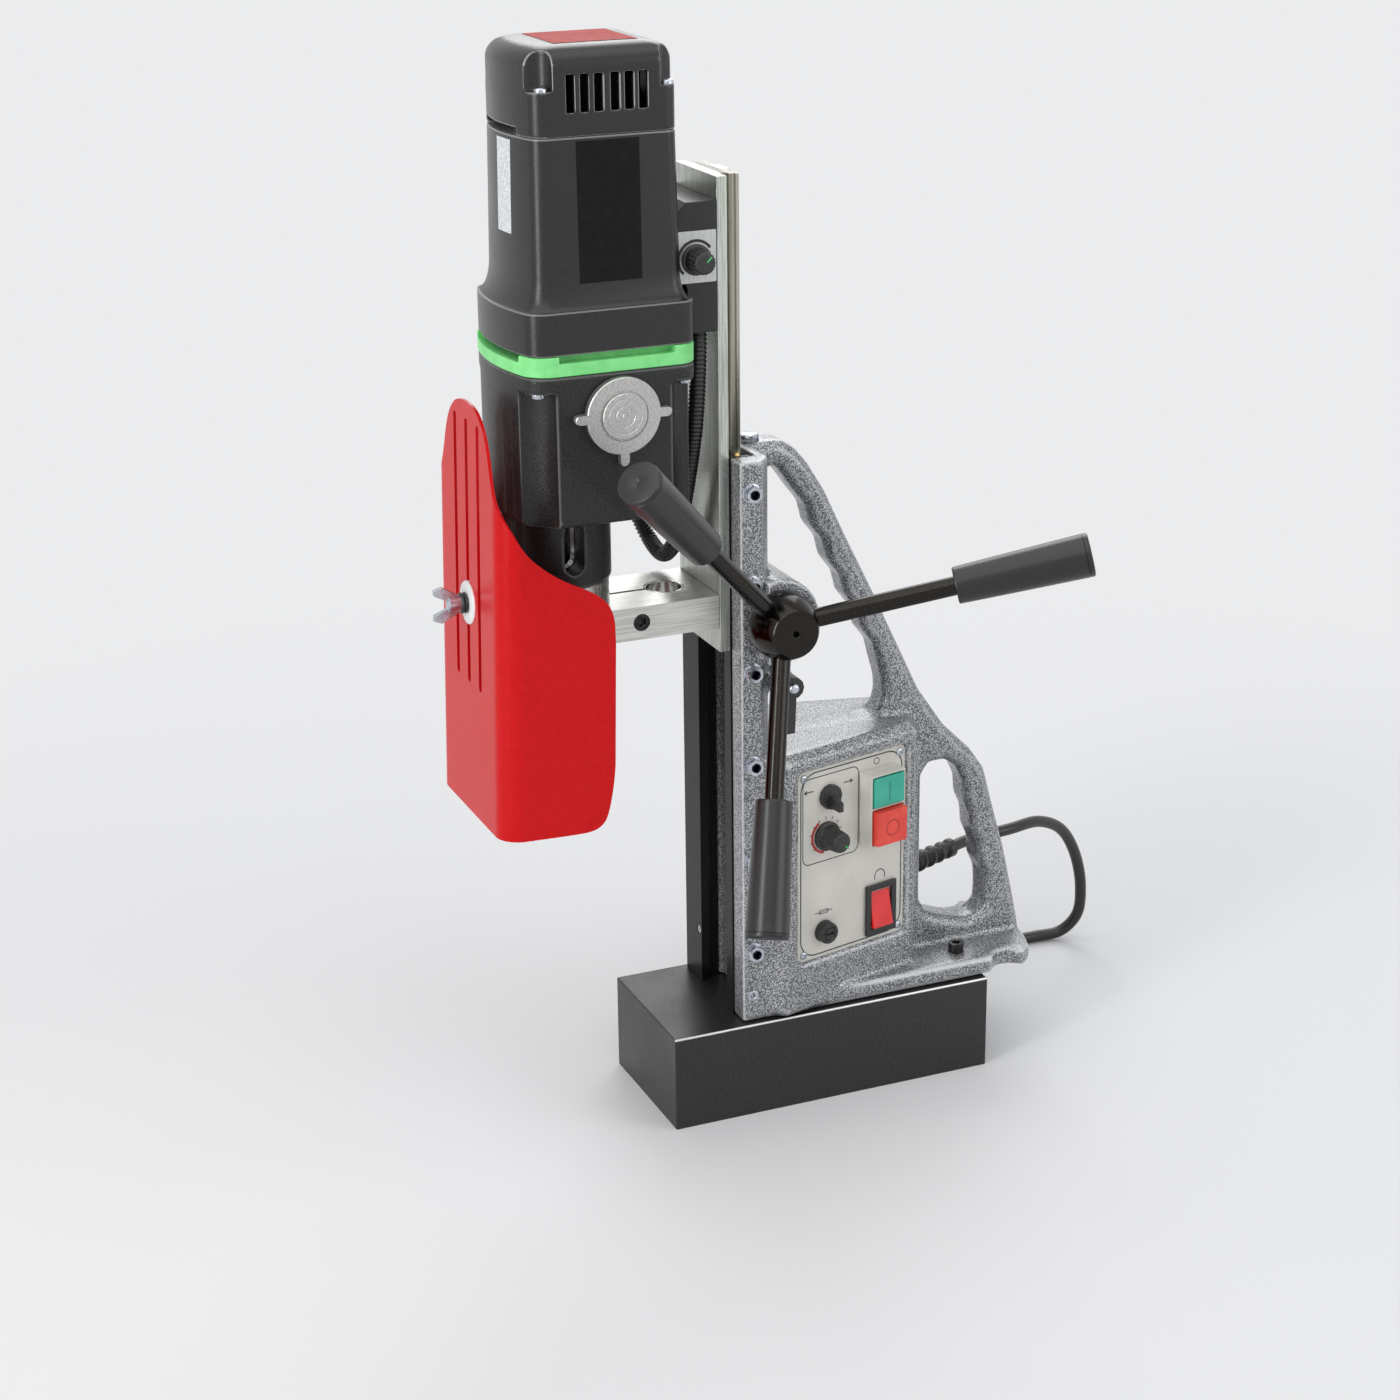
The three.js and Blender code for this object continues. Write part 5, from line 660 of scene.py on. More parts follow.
dress("gib_strip", "near_gib", 0.5, way_steel_painted_shade, "dark_steel")
wick_rows = [(1.9, -8), (1.9, 0), (1.75, 0.7), (1.3, 1.3), (0.6, 1.65), (0.2, 1.7)]
wick = turned("gib_wick", wick_rows, (25.5, -55, 426.3), UP, 32, angle=60)
fit(wick, brass, "stand", slot="brass")
way_screw = turned("way_screw", socket_rows(2.6, 0.8, 1.2, 1.6, 0.3), (-24.6, -60.95, 99), SPINDLEWARDS, 36)
fit(way_screw, zinc, "stand", slot="zinc")


# Control panel: a 1.5 mm sheet, painted cream, with thin black lines printed on it, let into the raised rim
# of the housing and held by four cross-head screws. The marks for the knobs are plain arcs, arrows and ticks.
def rounded_path(low, high, corner, steps=8):
    """Points round a rectangle with round corners, as an array of pairs."""
    quarter = np.linspace(0, math.pi / 2, steps + 1)
    middles = ((high[0] - corner, high[1] - corner), (low[0] + corner, high[1] - corner),
               (low[0] + corner, low[1] + corner), (high[0] - corner, low[1] + corner))
    turns = [quarter + k * math.pi / 2 for k in range(4)]
    return np.vstack([np.stack([x + corner * np.cos(turn), y + corner * np.sin(turn)], axis=1)
                      for (x, y), turn in zip(middles, turns)])


def ink(line, width, out=0, closed=False, height=0.06, place=panel_place, name="ink"):
    """A printed line: a strip of the width along a path of (across, up) pairs, standing a little over the
    face. Its edges are offset from the path by half the width along the path's normal."""
    line = np.asarray(line, float)
    along = np.roll(line, -1, axis=0) - np.roll(line, 1, axis=0) if closed else np.gradient(line, axis=0)
    along /= np.linalg.norm(along, axis=1)[:, None]
    normal = np.column_stack([-along[:, 1], along[:, 0]]) * width / 2
    corners = ((line - normal, 0), (line + normal, 0), (line + normal, height), (line - normal, height))
    grid = np.stack([np.column_stack([np.full(len(line), out + rise), side]) for side, rise in corners], axis=1)
    return outward(surface(name, place(grid) / 1000, loop_rows=closed, loop_columns=True, caps=not closed))


def arc(middle, radius, start, end, steps):
    """Points along an arc, from one angle to the other in degrees, counted from across towards up."""
    turn = np.radians(np.linspace(start, end, steps))
    return np.column_stack([middle[0] + radius * np.cos(turn), middle[1] + radius * np.sin(turn)])


def ticks(middle, radii, degrees, width, **placing):
    """Short printed lines that point at a knob's middle, at each of the angles."""
    return [ink([(middle[0] + r * math.cos(a), middle[1] + r * math.sin(a)) for r in radii], width, **placing)
            for a in np.radians(degrees)]


panel_cream = finish("panel_cream", (0.645, 0.626, 0.575), (0.685, 0.666, 0.615), 0.42, 0.0, 45.0, 0.04, detail=4.0)
ink_black = finish("ink_black", 0.01, 0.018, 0.45, grain=900.0, detail=2.0)
ink_red = finish("ink_red", (0.45, 0.03, 0.025), (0.55, 0.045, 0.035), 0.45, grain=900.0, detail=2.0)
outline = rounded_path((0.1, 0.1), (86.4, 128.6), 5)
middle = outline.mean(axis=0)
reach = np.abs(outline - middle).max(axis=0)
plate_rings = [np.column_stack([np.full(len(outline), out), middle + (outline - middle) * (1 - inset / reach)])
               for out, inset in ((-1.4, 0), (-0.3, 0), (-0.09, 0.09), (0, 0.3))]
face = smooth(solid("panel_plate", panel_place(plate_rings)), 40)
fit(face, panel_cream, "stand", "control_panel", slot="panel_cream")
speed_middle, arrows = (22.5, 82), []
for tip, side in ((5.4, 1), (43.6, -1)):
    arrows.append([(tip + side * 0.1, 114), (tip + side * 7.1, 114)])
    arrows += [[(tip, 114), (tip + side * 2, up)] for up in (115.2, 112.8)]
magnet_mark = np.vstack([[(62.5, 41.2), (62.5, 43.5)], arc((66.5, 43.5), 4, 180, 0, 16), [(70.5, 43.5), (70.5, 41.2)]])
lines = [
    ink(rounded_path((2.6, 2.6), (83.9, 126.1), 12, 12), 0.8, closed=True),
    ink(rounded_path((4.2, 65.3), (48.5, 122.6), 5), 0.6, closed=True),
    *(ink(line, 0.65) for line in arrows),
    ink(rounded_path((17.5, 29.4), (24.5, 31.8), 0.5), 0.5, closed=True),
    ink([(14, 30.6), (28, 30.6)], 0.5),
    ink(magnet_mark, 0.7),
    ink(arc((63, 122.2), 2.1, 0, 345, 24), 0.5, closed=True),
    *ticks(speed_middle, (11.0, 12.8), np.arange(-40, 221, 26), 0.6),
]
fit(joined("panel_print", lines), ink_black, "stand", slot="panel_cream")
red_arc = ink(arc(speed_middle, 10.9, 120, 262, 40), 1.8, height=0.05, name="speed_band")
fit(red_arc, ink_red, "stand", slot="panel_cream")


def cross_screw(name, place, axis, radius, turn):
    """A pan-head screw: a turned dome with a cross cut into it by two crossed bars."""
    profile = ((1, -1.2), (1, 0.35), (0.96, 0.7), (0.8, 1.15), (0.55, 1.45), (0.2, 1.6))
    head = turned(name, [(radius * share, height) for share, height in profile], place, axis, 32, angle=50)
    axis = unit(np.asarray(axis, float))
    side, other = square_to(axis)
    bars = []
    for angle in (turn, turn + math.pi / 2):
        along = math.cos(angle) * side + math.sin(angle) * other
        width = np.cross(axis, along)
        ring = np.array([along * l + width * w for l, w in ((-0.6, -0.11), (0.6, -0.11), (0.6, 0.11), (-0.6, 0.11))])
        bars.append(solid("bar", [ring * radius + axis * h + np.asarray(place) for h in (0.6, 3)]))
    return shaped(head, bars)


panel_out = panel_place((1, 0, 0)) - panel_place((0, 0, 0))
corner_screws = [cross_screw("corner_screw", panel_place((0, a, u)), panel_out, 2.7, t)
                 for a, u, t in ((4.8, 123.8, 0.4), (81.8, 124, 1.1), (81.9, 4.7, 0.2), (4.9, 4.6, 0.8))]
fit(joined("panel_screws", corner_screws), zinc, "stand", slot="zinc")

# Motor switch: a cream moulded box with two square push buttons, teal with a bar to start and coral with a
# ring to stop, which stands further out. The box is clipped through the panel.
box_cream, teal, coral = (finish(name, dark, light, rough, 0.0, 60.0, 0.03) for name, dark, light, rough in (
    ("box_cream", (0.62, 0.605, 0.555), (0.66, 0.645, 0.595), 0.38),
    ("teal_plastic", (0.035, 0.42, 0.3), (0.045, 0.47, 0.34), 0.3),
    ("coral_plastic", (0.78, 0.055, 0.035), (0.86, 0.075, 0.05), 0.3)))
# Painted shade: the bar and the ring on the buttons are grooves drawn as flat strips in a darker teal and coral, with
# the shade inside a groove painted on.
teal_shade_mark = finish("teal_groove_painted_shade", (0.012, 0.2, 0.15), (0.016, 0.24, 0.18), 0.4, detail=2.0)
coral_shade_mark = finish("coral_groove_painted_shade", (0.42, 0.02, 0.015), (0.5, 0.03, 0.02), 0.4, detail=2.0)
dress("push_button_box", "switch_box", 0.7, box_cream, "box_cream")
dress("start_button", "start_key", 0.5, teal, "teal_button", "start_button")
dress("stop_button", "stop_key", 0.7, coral, "coral_button", "stop_button")
start_bar = ink([(63, 99.5), (63, 112.5)], 0.8, 13.4, height=0.05, name="start_bar")
fit(start_bar, teal_shade_mark, "start_button", slot="teal_button")
stop_ring = ink(arc((63, 82.6), 5.1, 0, 354, 60), 0.8, 16.6, True, height=0.05, name="stop_ring")
fit(stop_ring, coral_shade_mark, "stop_button", slot="coral_button")

# Magnet switch: a black moulded bezel, clipped into the panel, with a red rocker that glows when the magnet
# is on. The small marks on the rocker are left out.
gloss_black = finish("gloss_black", 0.011, 0.016, 0.2, grain=300.0, dull=0.08)
satin_black = finish("satin_black", 0.015, 0.026, 0.38, grain=500.0, bump=0.15)
lit_red = finish("rocker_red", (0.72, 0.01, 0.012), (0.85, 0.016, 0.018), 0.18, grain=25.0, detail=2.0, dull=0.05,
                 Coat_Weight=0.5)
dress("rocker_bezel", "magnet_switch_frame", 0.6, gloss_black, "black_plastic")
dress("magnet_rocker", "magnet_switch_key", 0.7, lit_red, "red_rocker", "magnet_rocker")

# Panel knobs: a black selector with a pointed wing, a ribbed speed knob with a painted pointer, and the
# ribbed cap of the fuse holder. Each is pushed on its shaft or turned into its socket.
green_paint = finish("pointer_green", (0.05, 0.42, 0.13), (0.08, 0.52, 0.18), 0.4, grain=600.0, detail=2.0)
dress("selector_knob", "direction_wing", 0.5, satin_black, "black_plastic", "direction_knob")


def ribbed_knob(name, place, axis, skirt, skirt_height, radius, height):
    """A tapered knob over a skirt: turned rows whose sides are waved by a cosine of eighteen times the angle,
    faded out at the skirt and at the rounded end."""
    rows = [(skirt * 0.9, 0.35), (skirt, 0.5), (skirt, skirt_height - 0.5), (skirt - 0.5, skirt_height),
            (radius + 0.6, skirt_height + 0.2)]
    rows += [(radius + 0.3 - 0.9 * s, skirt_height + 0.8 + (height - skirt_height - 1.8) * s)
             for s in np.linspace(0, 1, 8)]
    rows += [(radius - 0.9, height - 0.5), (radius - 1.4, height - 0.1), (radius - 2.2, height), (1.0, height)]

    def ribs_of(turn, level):
        grip = np.clip((level - skirt_height - 0.6) / 0.6, 0, 1) * np.clip((height - 0.7 - level) / 0.6, 0, 1)
        return 1 + 0.045 * grip * np.cos(18 * turn)

    return turned(name, rows, place, axis, 144, ribs_of, 40)


speed_knob = ribbed_knob("speed_knob_body", panel_place((0, *speed_middle)), panel_out, 9.5, 3, 7, 17)
fit(speed_knob, satin_black, "speed_knob", "speed_knob", slot="black_plastic")
pointer = ink([(24.6, 79.9), (27.2, 77.3)], 0.9, 16.95, height=0.1, name="speed_pointer")
fit(pointer, green_paint, "speed_knob", slot="black_plastic")


def fuse_ribs(turn, level):
    """The ribs round the fuse holder's cap."""
    return 1 + 0.03 * (level > 1.2) * (level < 5.8) * np.cos(20 * turn)


fuse_rows = [(7.3, 0.35), (7.3, 1), (6.9, 1.3), (6.9, 2), (6.9, 4), (6.9, 5.6), (6.7, 6.4), (6.1, 6.9), (4.9, 7),
             (4.6, 6.6), (4.3, 6.2), (3.9, 6.2), (3.7, 6.6), (1, 6.6)]
fuse_cap = turned("fuse_holder_cap", fuse_rows, panel_place((0, 21, 17.5)), panel_out, 120, fuse_ribs, 35)
slot_ring = [(7.5, 0.7), (7.5, -0.7), (-7.5, -0.7), (-7.5, 0.7)]
slot_cut = [panel_place([(h, 21 + 0.4 * a, 17.5 + u) for a, u in slot_ring]) for h in (5.4, 9)]
shaped(fuse_cap, [solid("slot_cut", slot_cut)])
fit(smooth(fuse_cap, 35), gloss_black, "fuse_cap", "fuse_cap", slot="black_plastic")

# Slide lock: a short lever of black moulded plastic on the near side of the column, under the hub. A domed,
# zinc-plated steel screw holds it, and it turns to clamp the slide.
dress("lock_lever", "lock_handle", 1.0, satin_black, "black_plastic", "lock_lever")
dome = [(3.4, -1), (3.4, 0.4), (3.1, 1.2), (2.4, 1.9), (1.3, 2.3), (0.3, 2.4)]
fit(turned("lock_screw", dome, (59, -33, 287), NEAR, 32, angle=60), zinc, "lock_lever", slot="zinc")

# Cable entry: a flanged, tapered sleeve of black rubber, moulded with a spiral groove so that the lead bends
# gently. It is pushed through the sloping rear wall of the housing.
steps = np.linspace(0, 70, 141)[:, None]
taper = 8 - 1.6 * steps / 70
flange_share = np.clip((3 - steps) / 0.6, 0, 1)
grooved = np.clip((steps - 14) / 3, 0, 1) * np.clip((68 - steps) / 3, 0, 1)
turn = around(32)
spiral = 0.5 + 0.5 * np.cos(2 * math.pi * steps / 9.5 - turn[None])
ring_radius = taper - 2.1 * grooved * (1 - spiral ** 0.5) + (9 - taper) * flange_share
ring_out = np.cos(turn)[:, None] * np.cross(sleeve_heading, UP) + np.sin(turn)[:, None] * np.array(UP)
sleeve_points = (sleeve_start * 1000 + steps * sleeve_heading)[:, None] + ring_radius[..., None] * ring_out[None]
fit(smooth(solid("cable_sleeve", sleeve_points), 60), cord_rubber, "stand", "cord_gland", slot="cord_rubber")

# Slide: a flat aluminium bar, 62 mm wide, with a dovetail on its back that runs between the ways. It is
# milled all over and brushed along its length. A steel rack is screwed into the dovetail's back.
brushed = finish("brushed_aluminium", (0.42, 0.43, 0.415), (0.58, 0.59, 0.575), 0.27, 1.0, 1400.0, 0.3, 0.00008, 0.14,
                 4.0, (1, 1, 0.03))
ground = finish("ground_steel", (0.42, 0.42, 0.41), (0.6, 0.6, 0.585), 0.24, 1.0, 1800.0, 0.2, 0.00006,
                stretch=(1, 1, 0.05))
slide_shade_and_highlight_bands = finish("slide_painted_shade_and_highlight", (0.4, 0.42, 0.385), (0.56, 0.58, 0.535), 0.26, 1.0, 1400.0, 0.3, 0.00008, 0.14,
               4.0, (1, 1, 0.03))
# Painted shade and painted highlight: dark and pale bands along the slide's sides, set by depth, stand in for the
# shaded slant and the lit upright face of the dovetail and for the dark of a groove between them.
for start, width, colour, rough in (
    (-0.0622, 0.0003, (0.15, 0.135, 0.1), 0.16), (-0.0583, 0.0008, (0.42, 0.4, 0.34), 0.18),
    (-0.0556, 0.0008, (0.1, 0.09, 0.07), 0.18), (-0.0549, 0.0008, (0.48, 0.46, 0.41), 0.18),
):
    light_band_mask = placed(slide_shade_and_highlight_bands.node_tree, bare_edge, Direction=(0, 1, 0), Start=start, Width=width)
    layered(slide_shade_and_highlight_bands, light_band_mask, colour, rough, 1.0)
dress("slide", "dovetail_slide", 0.5, slide_shade_and_highlight_bands, "aluminium", "carriage")
kept(ground, "rack", "pinion_shaft", "armature", "idler_gear")
kept(brass, "pinion_bush")

# Spindle bracket: a milled aluminium arm, 62 by 20.6 mm, clamped round the nose by a slit and a black socket
# screw. The reamed hole between the slide and the spindle has a bright countersunk rim.
milled = finish("milled_aluminium", (0.52, 0.515, 0.49), (0.66, 0.655, 0.63), 0.3, 1.0, 900.0, 0.3, 0.00008, 0.16,
                4.0, (1, 0.03, 1))
dress("spindle_bracket", "bracket", 0.6, milled, "aluminium", "carriage")
rim_rows = ((12.4, 342.55), (12.4, 342.68), (11.5, 342.68), (10.9, 342.0), (10.85, 322.4), (11.2, 322.4), (11.2, 342.0))
hole_rim = turned("bracket_bushing", rim_rows, (0, -92.8, 0), UP, 96, hollow=True)
bright = finish("bright_steel", (0.7, 0.7, 0.69), (0.85, 0.85, 0.84), 0.12, 1.0, 1200.0, 0.05, 0.00005, 0.06, 2.0)
fit(hole_rim, bright, "carriage", slot="aluminium")
clamp_rows = [(r, h + 27.6, *s) for r, h, *s in [(5.3, -3), (5.3, 0)] + socket_rows(5.3, 2.6, 2.5, 2.6)[1:]]
clamp_screw = turned("clamp_screw", clamp_rows, (0, -119.5, 332.6), NEAR, 48)
fit(clamp_screw, black_oxide, "carriage", "bracket_clamp_screw", slot="black_screws")

# Spindle: turned and ground steel with a taper socket, in a nose ring that is bolted under the gearbox.
spindle_y = -161
nose_rows = [(21.4, 318), (22, 318.6), (22, 340.5), (22.6, 342.6), (30.4, 342.9), (31, 343.5), (31, 358), (30.4, 358.7),
             (17.2, 358.7), (16.4, 358), (16.4, 319), (17.2, 318)]
nose = turned("nose_ring", nose_rows, (0, spindle_y, 0), UP, 96, hollow=True)
fit(nose, ground, "carriage", "bearing_nose", slot="steel")
kept(ground, "spindle")

# Gearbox: a cast aluminium case, square above and round at the neck, with a hollow down each corner for a
# cap screw, sprayed with speckled black crackle paint. The drift slot goes through the neck.
tower_y, bow_share = -138.5, 0.17


def bow(x, half):
    """How far the tower's front is bowed out at x: a parabola over the width, 0.17 of the half width high."""
    return bow_share * half * (1 - (x / half) ** 2)


def square_ring(half, corner, height):
    """One level of the tower: four quarter circles, joined by straight sides, and a front that is bowed out."""
    corner, steps = min(corner, half * 0.98), 12
    ring = rounded_path((-half, -half), (half, half), corner, steps)
    front = np.linspace(corner - half, half - corner, 17)[1:-1]
    x, y = np.insert(ring, 3 * (steps + 1), np.column_stack([front, np.full(15, -half)]), axis=0).T
    return np.column_stack([x, np.where(y < 0, y - bow(x, half), y) + tower_y, np.full(len(x), height)])


def tower(name, rows, angle=35):
    """A tower from rows of (half width, corner radius, height), closed at both ends."""
    return smooth(solid(name, [square_ring(*row) for row in rows]), angle)


def rod(name, radius, low, high, x, y, sides=64):
    """An upright round bar, used to cut or to add."""
    return turned(name, [(radius, low), (radius, high)], (x, y, 0), UP, sides)


speckled_black = finish("crackle_black", 0.007, (0.021, 0.021, 0.022), 0.36, 0.0, 1100.0, 0.7, 0.0005, detail=2.0,
                        mask=(0.42, 0.6), Specular_IOR_Level=0.35, Coat_Weight=0.12)
# Painted highlight: a lighter grey on the gearbox's rounded edges stands in for the light that they catch.
painted_edge_highlight(speckled_black, (0.12, 0.12, 0.12), 0.28)
case = tower("gear_case", [(45, 10, 401), (48.2, 10, 402), (49.9, 10, 404.5), (49.9, 10, 490.7)])
neck_rows = [(30.5, 359), (32, 359.6), (32.5, 361), (32.5, 404)]
shaped(case, [turned("neck", neck_rows, (0, spindle_y, 0), UP, 96)], "UNION")
hollows = [rod("hollow", 16.5, 380, 481, x, tower_y + y) for x in (-49.9, 49.9) for y in (-54.14, 49.9)]
hollows.append(rod("bore", 17, 340, 403, 0, spindle_y))
hollows.append(solid("drift_cut", levels_of(rounded_path((-167, 367.7), (-155, 399), 5.98, 12), (-40, 40))))
shaped(case, hollows)
moulded(case, 1.0, 4)
fit(case, speckled_black, "carriage", "gearbox_housing", slot="black_plastic")
seat_screws = [turned("gear_screw", socket_rows(4.2, 2.6, 2.1, 1.6), (x, tower_y + y, 481.4), (0, 0, -1), 36)
               for x, y in ((43, -46), (43, 43), (-43, -46), (-43, 43))]
fit(joined("gear_case_screws", seat_screws), zinc, "carriage", slot="zinc")

# Bearing plate: a bright green moulded spacer between gearbox and motor, its top edge stepped down along
# each side and full height at the corners.
light_green = finish("green_moulding", (0.2, 0.72, 0.23), (0.24, 0.78, 0.27), 0.38, 0.0, 80.0, 0.04, dull=0.12)
spacer = tower("green_spacer", [(49.9, 12, 491), (50.3, 12, 491.5), (50.3, 12, 501.8), (49.8, 12, 502.4)])
notches = []
for k in range(4):
    along = np.array([(-35.3, 499.0), (-33.6, 498.4), (35.3, 498.4), (35.3, 505), (-35.3, 505)])
    x, z = along.T
    cosine, sine = math.cos(k * math.pi / 2), math.sin(k * math.pi / 2)
    notches.append(solid("notch", [np.column_stack([x * cosine - y * sine, x * sine + y * cosine + tower_y, z])
                                   for y in (43.3, 66)]))
shaped(spacer, notches)
fit(eased(spacer, 0.5), light_green, "carriage", "bearing_plate", slot="green_plastic")

# Gear selector: a cast aluminium disc with three ears, faced on the lathe with a ring groove, turned by hand
# through a quarter turn to change gear.
ear_half, ear_middle, disc_radius, disc_y, disc_z = 2.75, 26.75, 22.5, -137.4, 466


def ear_outline(turn):
    """Distance from the disc's middle to its edge: the disc's radius, or inside an ear the far side of a bar
    5.5 mm wide with a round end, 29.5 mm out."""
    edge = np.full(turn.shape, disc_radius)
    for direction in (0, math.pi, -math.pi / 2):
        off = np.abs((turn - direction + math.pi) % (2 * math.pi) - math.pi)
        sine = np.maximum(np.sin(np.minimum(off, math.pi / 2)), 1e-6)
        aside = ear_middle * sine
        end = ear_middle * np.cos(off) + np.sqrt(np.maximum(ear_half ** 2 - aside ** 2, 0))
        reach = np.where(aside < ear_half, end, ear_half / sine)
        edge = np.where(off < 0.1225, np.maximum(edge, reach), edge)
    return edge


select_turn = around(720)
outline = ear_outline(select_turn)
disc_rows = ((50.6, outline - 0.3), (50.9, outline), (55.1, outline), (55.6, outline - 0.55), (55.6, 14.7),
             (55.1, 14.4), (55.1, 13.7), (56.7, 13.5), (57.1, 13.0), (57.1, 10.6), (56.95, 10.4), (56.95, 9.8),
             (57.1, 9.6), (57.1, 6.2), (56.9, 6.0), (56.9, 5.5), (57.1, 5.3), (57.1, 2.6), (56.8, 2.4),
             (56.8, 1.6), (57.1, 1.3), (57.1, 0.2))
disc = solid("selector_disc", [np.column_stack([np.full(720, x), disc_y + r * np.cos(select_turn),
                                                disc_z + r * np.sin(select_turn)]) for x, r in disc_rows])
faced = finish("faced_aluminium", (0.44, 0.44, 0.43), (0.54, 0.54, 0.525), 0.34, 0.9, 700.0, 0.12, 0.0001, 0.12)
fit(smooth(disc, 30), faced, "gear_selector", "gear_selector", slot="aluminium")


# Motor housing: a square moulding of black glass-filled nylon on a wider flange, with a hollow sweep between
# the two and a slight taper up to the seam. It holds the stator and the brushes.
flange_half, flange_top, flange_corner = 49.5, 527, 9
wall_foot, wall_start, wall_taper, seam = 43.4, 546, 1.2, 622.7


def swept(height):
    """Share of the hollow sweep that is done at a height."""
    return np.clip((np.asarray(height, float) - flange_top) / (wall_start - flange_top), 0, 1)


def wall_half(height):
    """Half width of the motor's wall: the flange, then a quarter of an ellipse drawn in, then a straight taper."""
    height = np.asarray(height, float)
    sweep = flange_half - (flange_half - wall_foot) * np.sqrt(1 - (1 - swept(height)) ** 2)
    wall = wall_foot - wall_taper * (height - wall_start) / (seam - wall_start)
    return np.where(height < flange_top, flange_half, np.where(height < wall_start, sweep, wall))


levels = [527.0, 527.15, 527.5, 528, 529, 530.5, 532.5, 535, 538, 542, 546, *np.linspace(550, 621.4, 10), 622]
rows = [(48.9, flange_corner, 502.7)] + [(flange_half, flange_corner, z) for z in (503.3, 503.9, 526, 526.5)]
rows += [(float(wall_half(z)), flange_corner - 2 * float(swept(z)), z) for z in levels] + [(42.0, 7, seam)]
housing_black = finish("housing_nylon", (0.008, 0.008, 0.0085), (0.016, 0.016, 0.017), 0.27, 0.0, 1300.0, 0.2, 0.00025,
                       0.08, 2.0, Specular_IOR_Level=0.48)
# Painted highlight: a lighter grey on the cap's rounded edges, and on the lines marked on the motor case below, stands
# in for the light that they catch.
painted_edge_highlight(housing_black, (0.32, 0.32, 0.32), 0.25)
motor = tower("motor_case", rows, 28)
height = np.array([vertex.co.z * 1000 for vertex in motor.data.vertices])
# Painted highlight: thin bands at the flange's two edges and at the seam under the cap get a fixed edge value, so that
# the lighter edge finish draws a bright line along each.
highlight_bands = [(low < height) & (height < high) for low, high in ((502, 503.5), (526.4, 527.3), (621.9, 623))]
marked(motor, np.where(np.any(highlight_bands, axis=0), 0.1, 0))
fit(motor, housing_black, "carriage", "motor_housing", slot="black_plastic")


# Stickers on the motor: plastic film glued to its walls, a bare glossy black one on the near side and a
# plain pale one at the front.
def wall_patch(name, across, heights, side):
    """A sheet laid on the motor's wall: a grid across and up, pushed out by the wall's half width there, and
    at the front by its bow too."""
    a, z = np.meshgrid(np.linspace(*across, 9), np.linspace(*heights, 14))
    layers = []
    for lift in (0.02, 0.2):
        out = wall_half(z) + lift
        front = tower_y - out - bow(a, wall_half(z))
        layers.append(np.stack([out, a, z] if side == "x" else [a, front, z], axis=-1))
    skirt = [np.vstack([g[0, :-1], g[:-1, -1], g[-1, :0:-1], g[:0:-1, 0]]) for g in layers]
    sheet, rim = surface(name, layers[1] / 1000), surface("rim", np.stack(skirt) / 1000, loop_columns=True)
    return smooth(joined(name, [sheet, rim]), 40)


gloss_label = finish("gloss_label", 0.005, 0.007, 0.25, grain=200.0, dull=0.06, Specular_IOR_Level=0.15)
pale_label = finish("pale_label", (0.5, 0.53, 0.55), (0.78, 0.8, 0.82), 0.3, grain=1400.0, stretch=(1, 1, 0.5))
fit(wall_patch("side_sticker", (-157.8, -120.2), (541.5, 620.5), "x"), gloss_label, "carriage", slot="black_plastic")
fit(wall_patch("front_sticker", (-3, 16), (567.5, 620), "y"), pale_label, "carriage", slot="black_plastic")

# Motor cap: a domed black moulding with slots for the cooling air on both sides and an arched pocket in each
# corner, where a bright screw holds it down. A plain red sticker lies on its top.
cap_flat, cap_half, cap_shoulder, cap_rise, cap_dome, cap_power = 22, 42.2, 660, 12.1, 0.3, 0.6


def crown_rows(flat, side, shoulder, rise):
    """Rows of a crown: the half width falls from the side to the flat with the 0.6th power of the cosine while
    the height rises with the sine, and from there to the middle a parabola adds the dome."""
    swing = np.radians(np.linspace(0, 90, 19))[1:]
    rows = [(flat + (side - flat) * max(math.cos(s), 0) ** cap_power, 7, shoulder + rise * math.sin(s)) for s in swing]
    return rows + [(flat * k, 7, shoulder + rise + cap_dome * (1 - k * k)) for k in (0.85, 0.6, 0.35, 0.1)]


def boxed(low, high):
    """A box used only as a cutter."""
    square = np.array([(low[0], low[1]), (high[0], low[1]), (high[0], high[1]), (low[0], high[1])])
    return solid("cutter", [np.column_stack([square, np.full(4, z)]) for z in (low[2], high[2])])


cap_rows = [(41.8, 7, 623), (42.2, 7, 623.4), (42.2, 7, 640), (42.2, 7, 660)]
cap_rows += crown_rows(cap_flat, cap_half, cap_shoulder, cap_rise)
cap = tower("cap_shell", cap_rows)
cuts = [tower("cap_hollow", [(38.6, 7, 620), (38.6, 7, 657)] + crown_rows(19, 38.6, 657, 11))]
for middle in (-13.25, 13.25):
    for y in (middle - 8.4, middle, middle + 8.4):
        cuts.append(boxed((-60, tower_y + y - 2.5, 636), (60, tower_y + y + 2.5, 657)))
cuts.append(boxed((-34, -195, 620), (23, -177.9, 627.4)))
shaped(cap, cuts)
corners = [(sx, sy) for sx in (-1, 1) for sy in (-1, 1)]
bosses = [rod("boss", 11.5, 630, 668, sx * 38.5, tower_y + sy * 38.5, 48) for sx, sy in corners]
pockets = [rod("pocket", 10.2, 648, 680, sx * cap_half, tower_y + sy * cap_half) for sx, sy in corners]
boss_block = shaped(bosses[0], bosses[1:], "UNION")
shaped(boss_block, [tower("envelope", cap_rows)], "INTERSECT")
shaped(cap, [boss_block], "UNION")
shaped(cap, pockets)
moulded(cap, 0.75, 2)
fit(cap, housing_black, "carriage", "motor_cap", slot="black_plastic")
cap_screws = [cross_screw("cap_screw", (sx * 37.3, tower_y + sy * 37.3, 649.2), UP, 3.9, 0.3 + 0.5 * k)
              for k, (sx, sy) in enumerate(corners)]
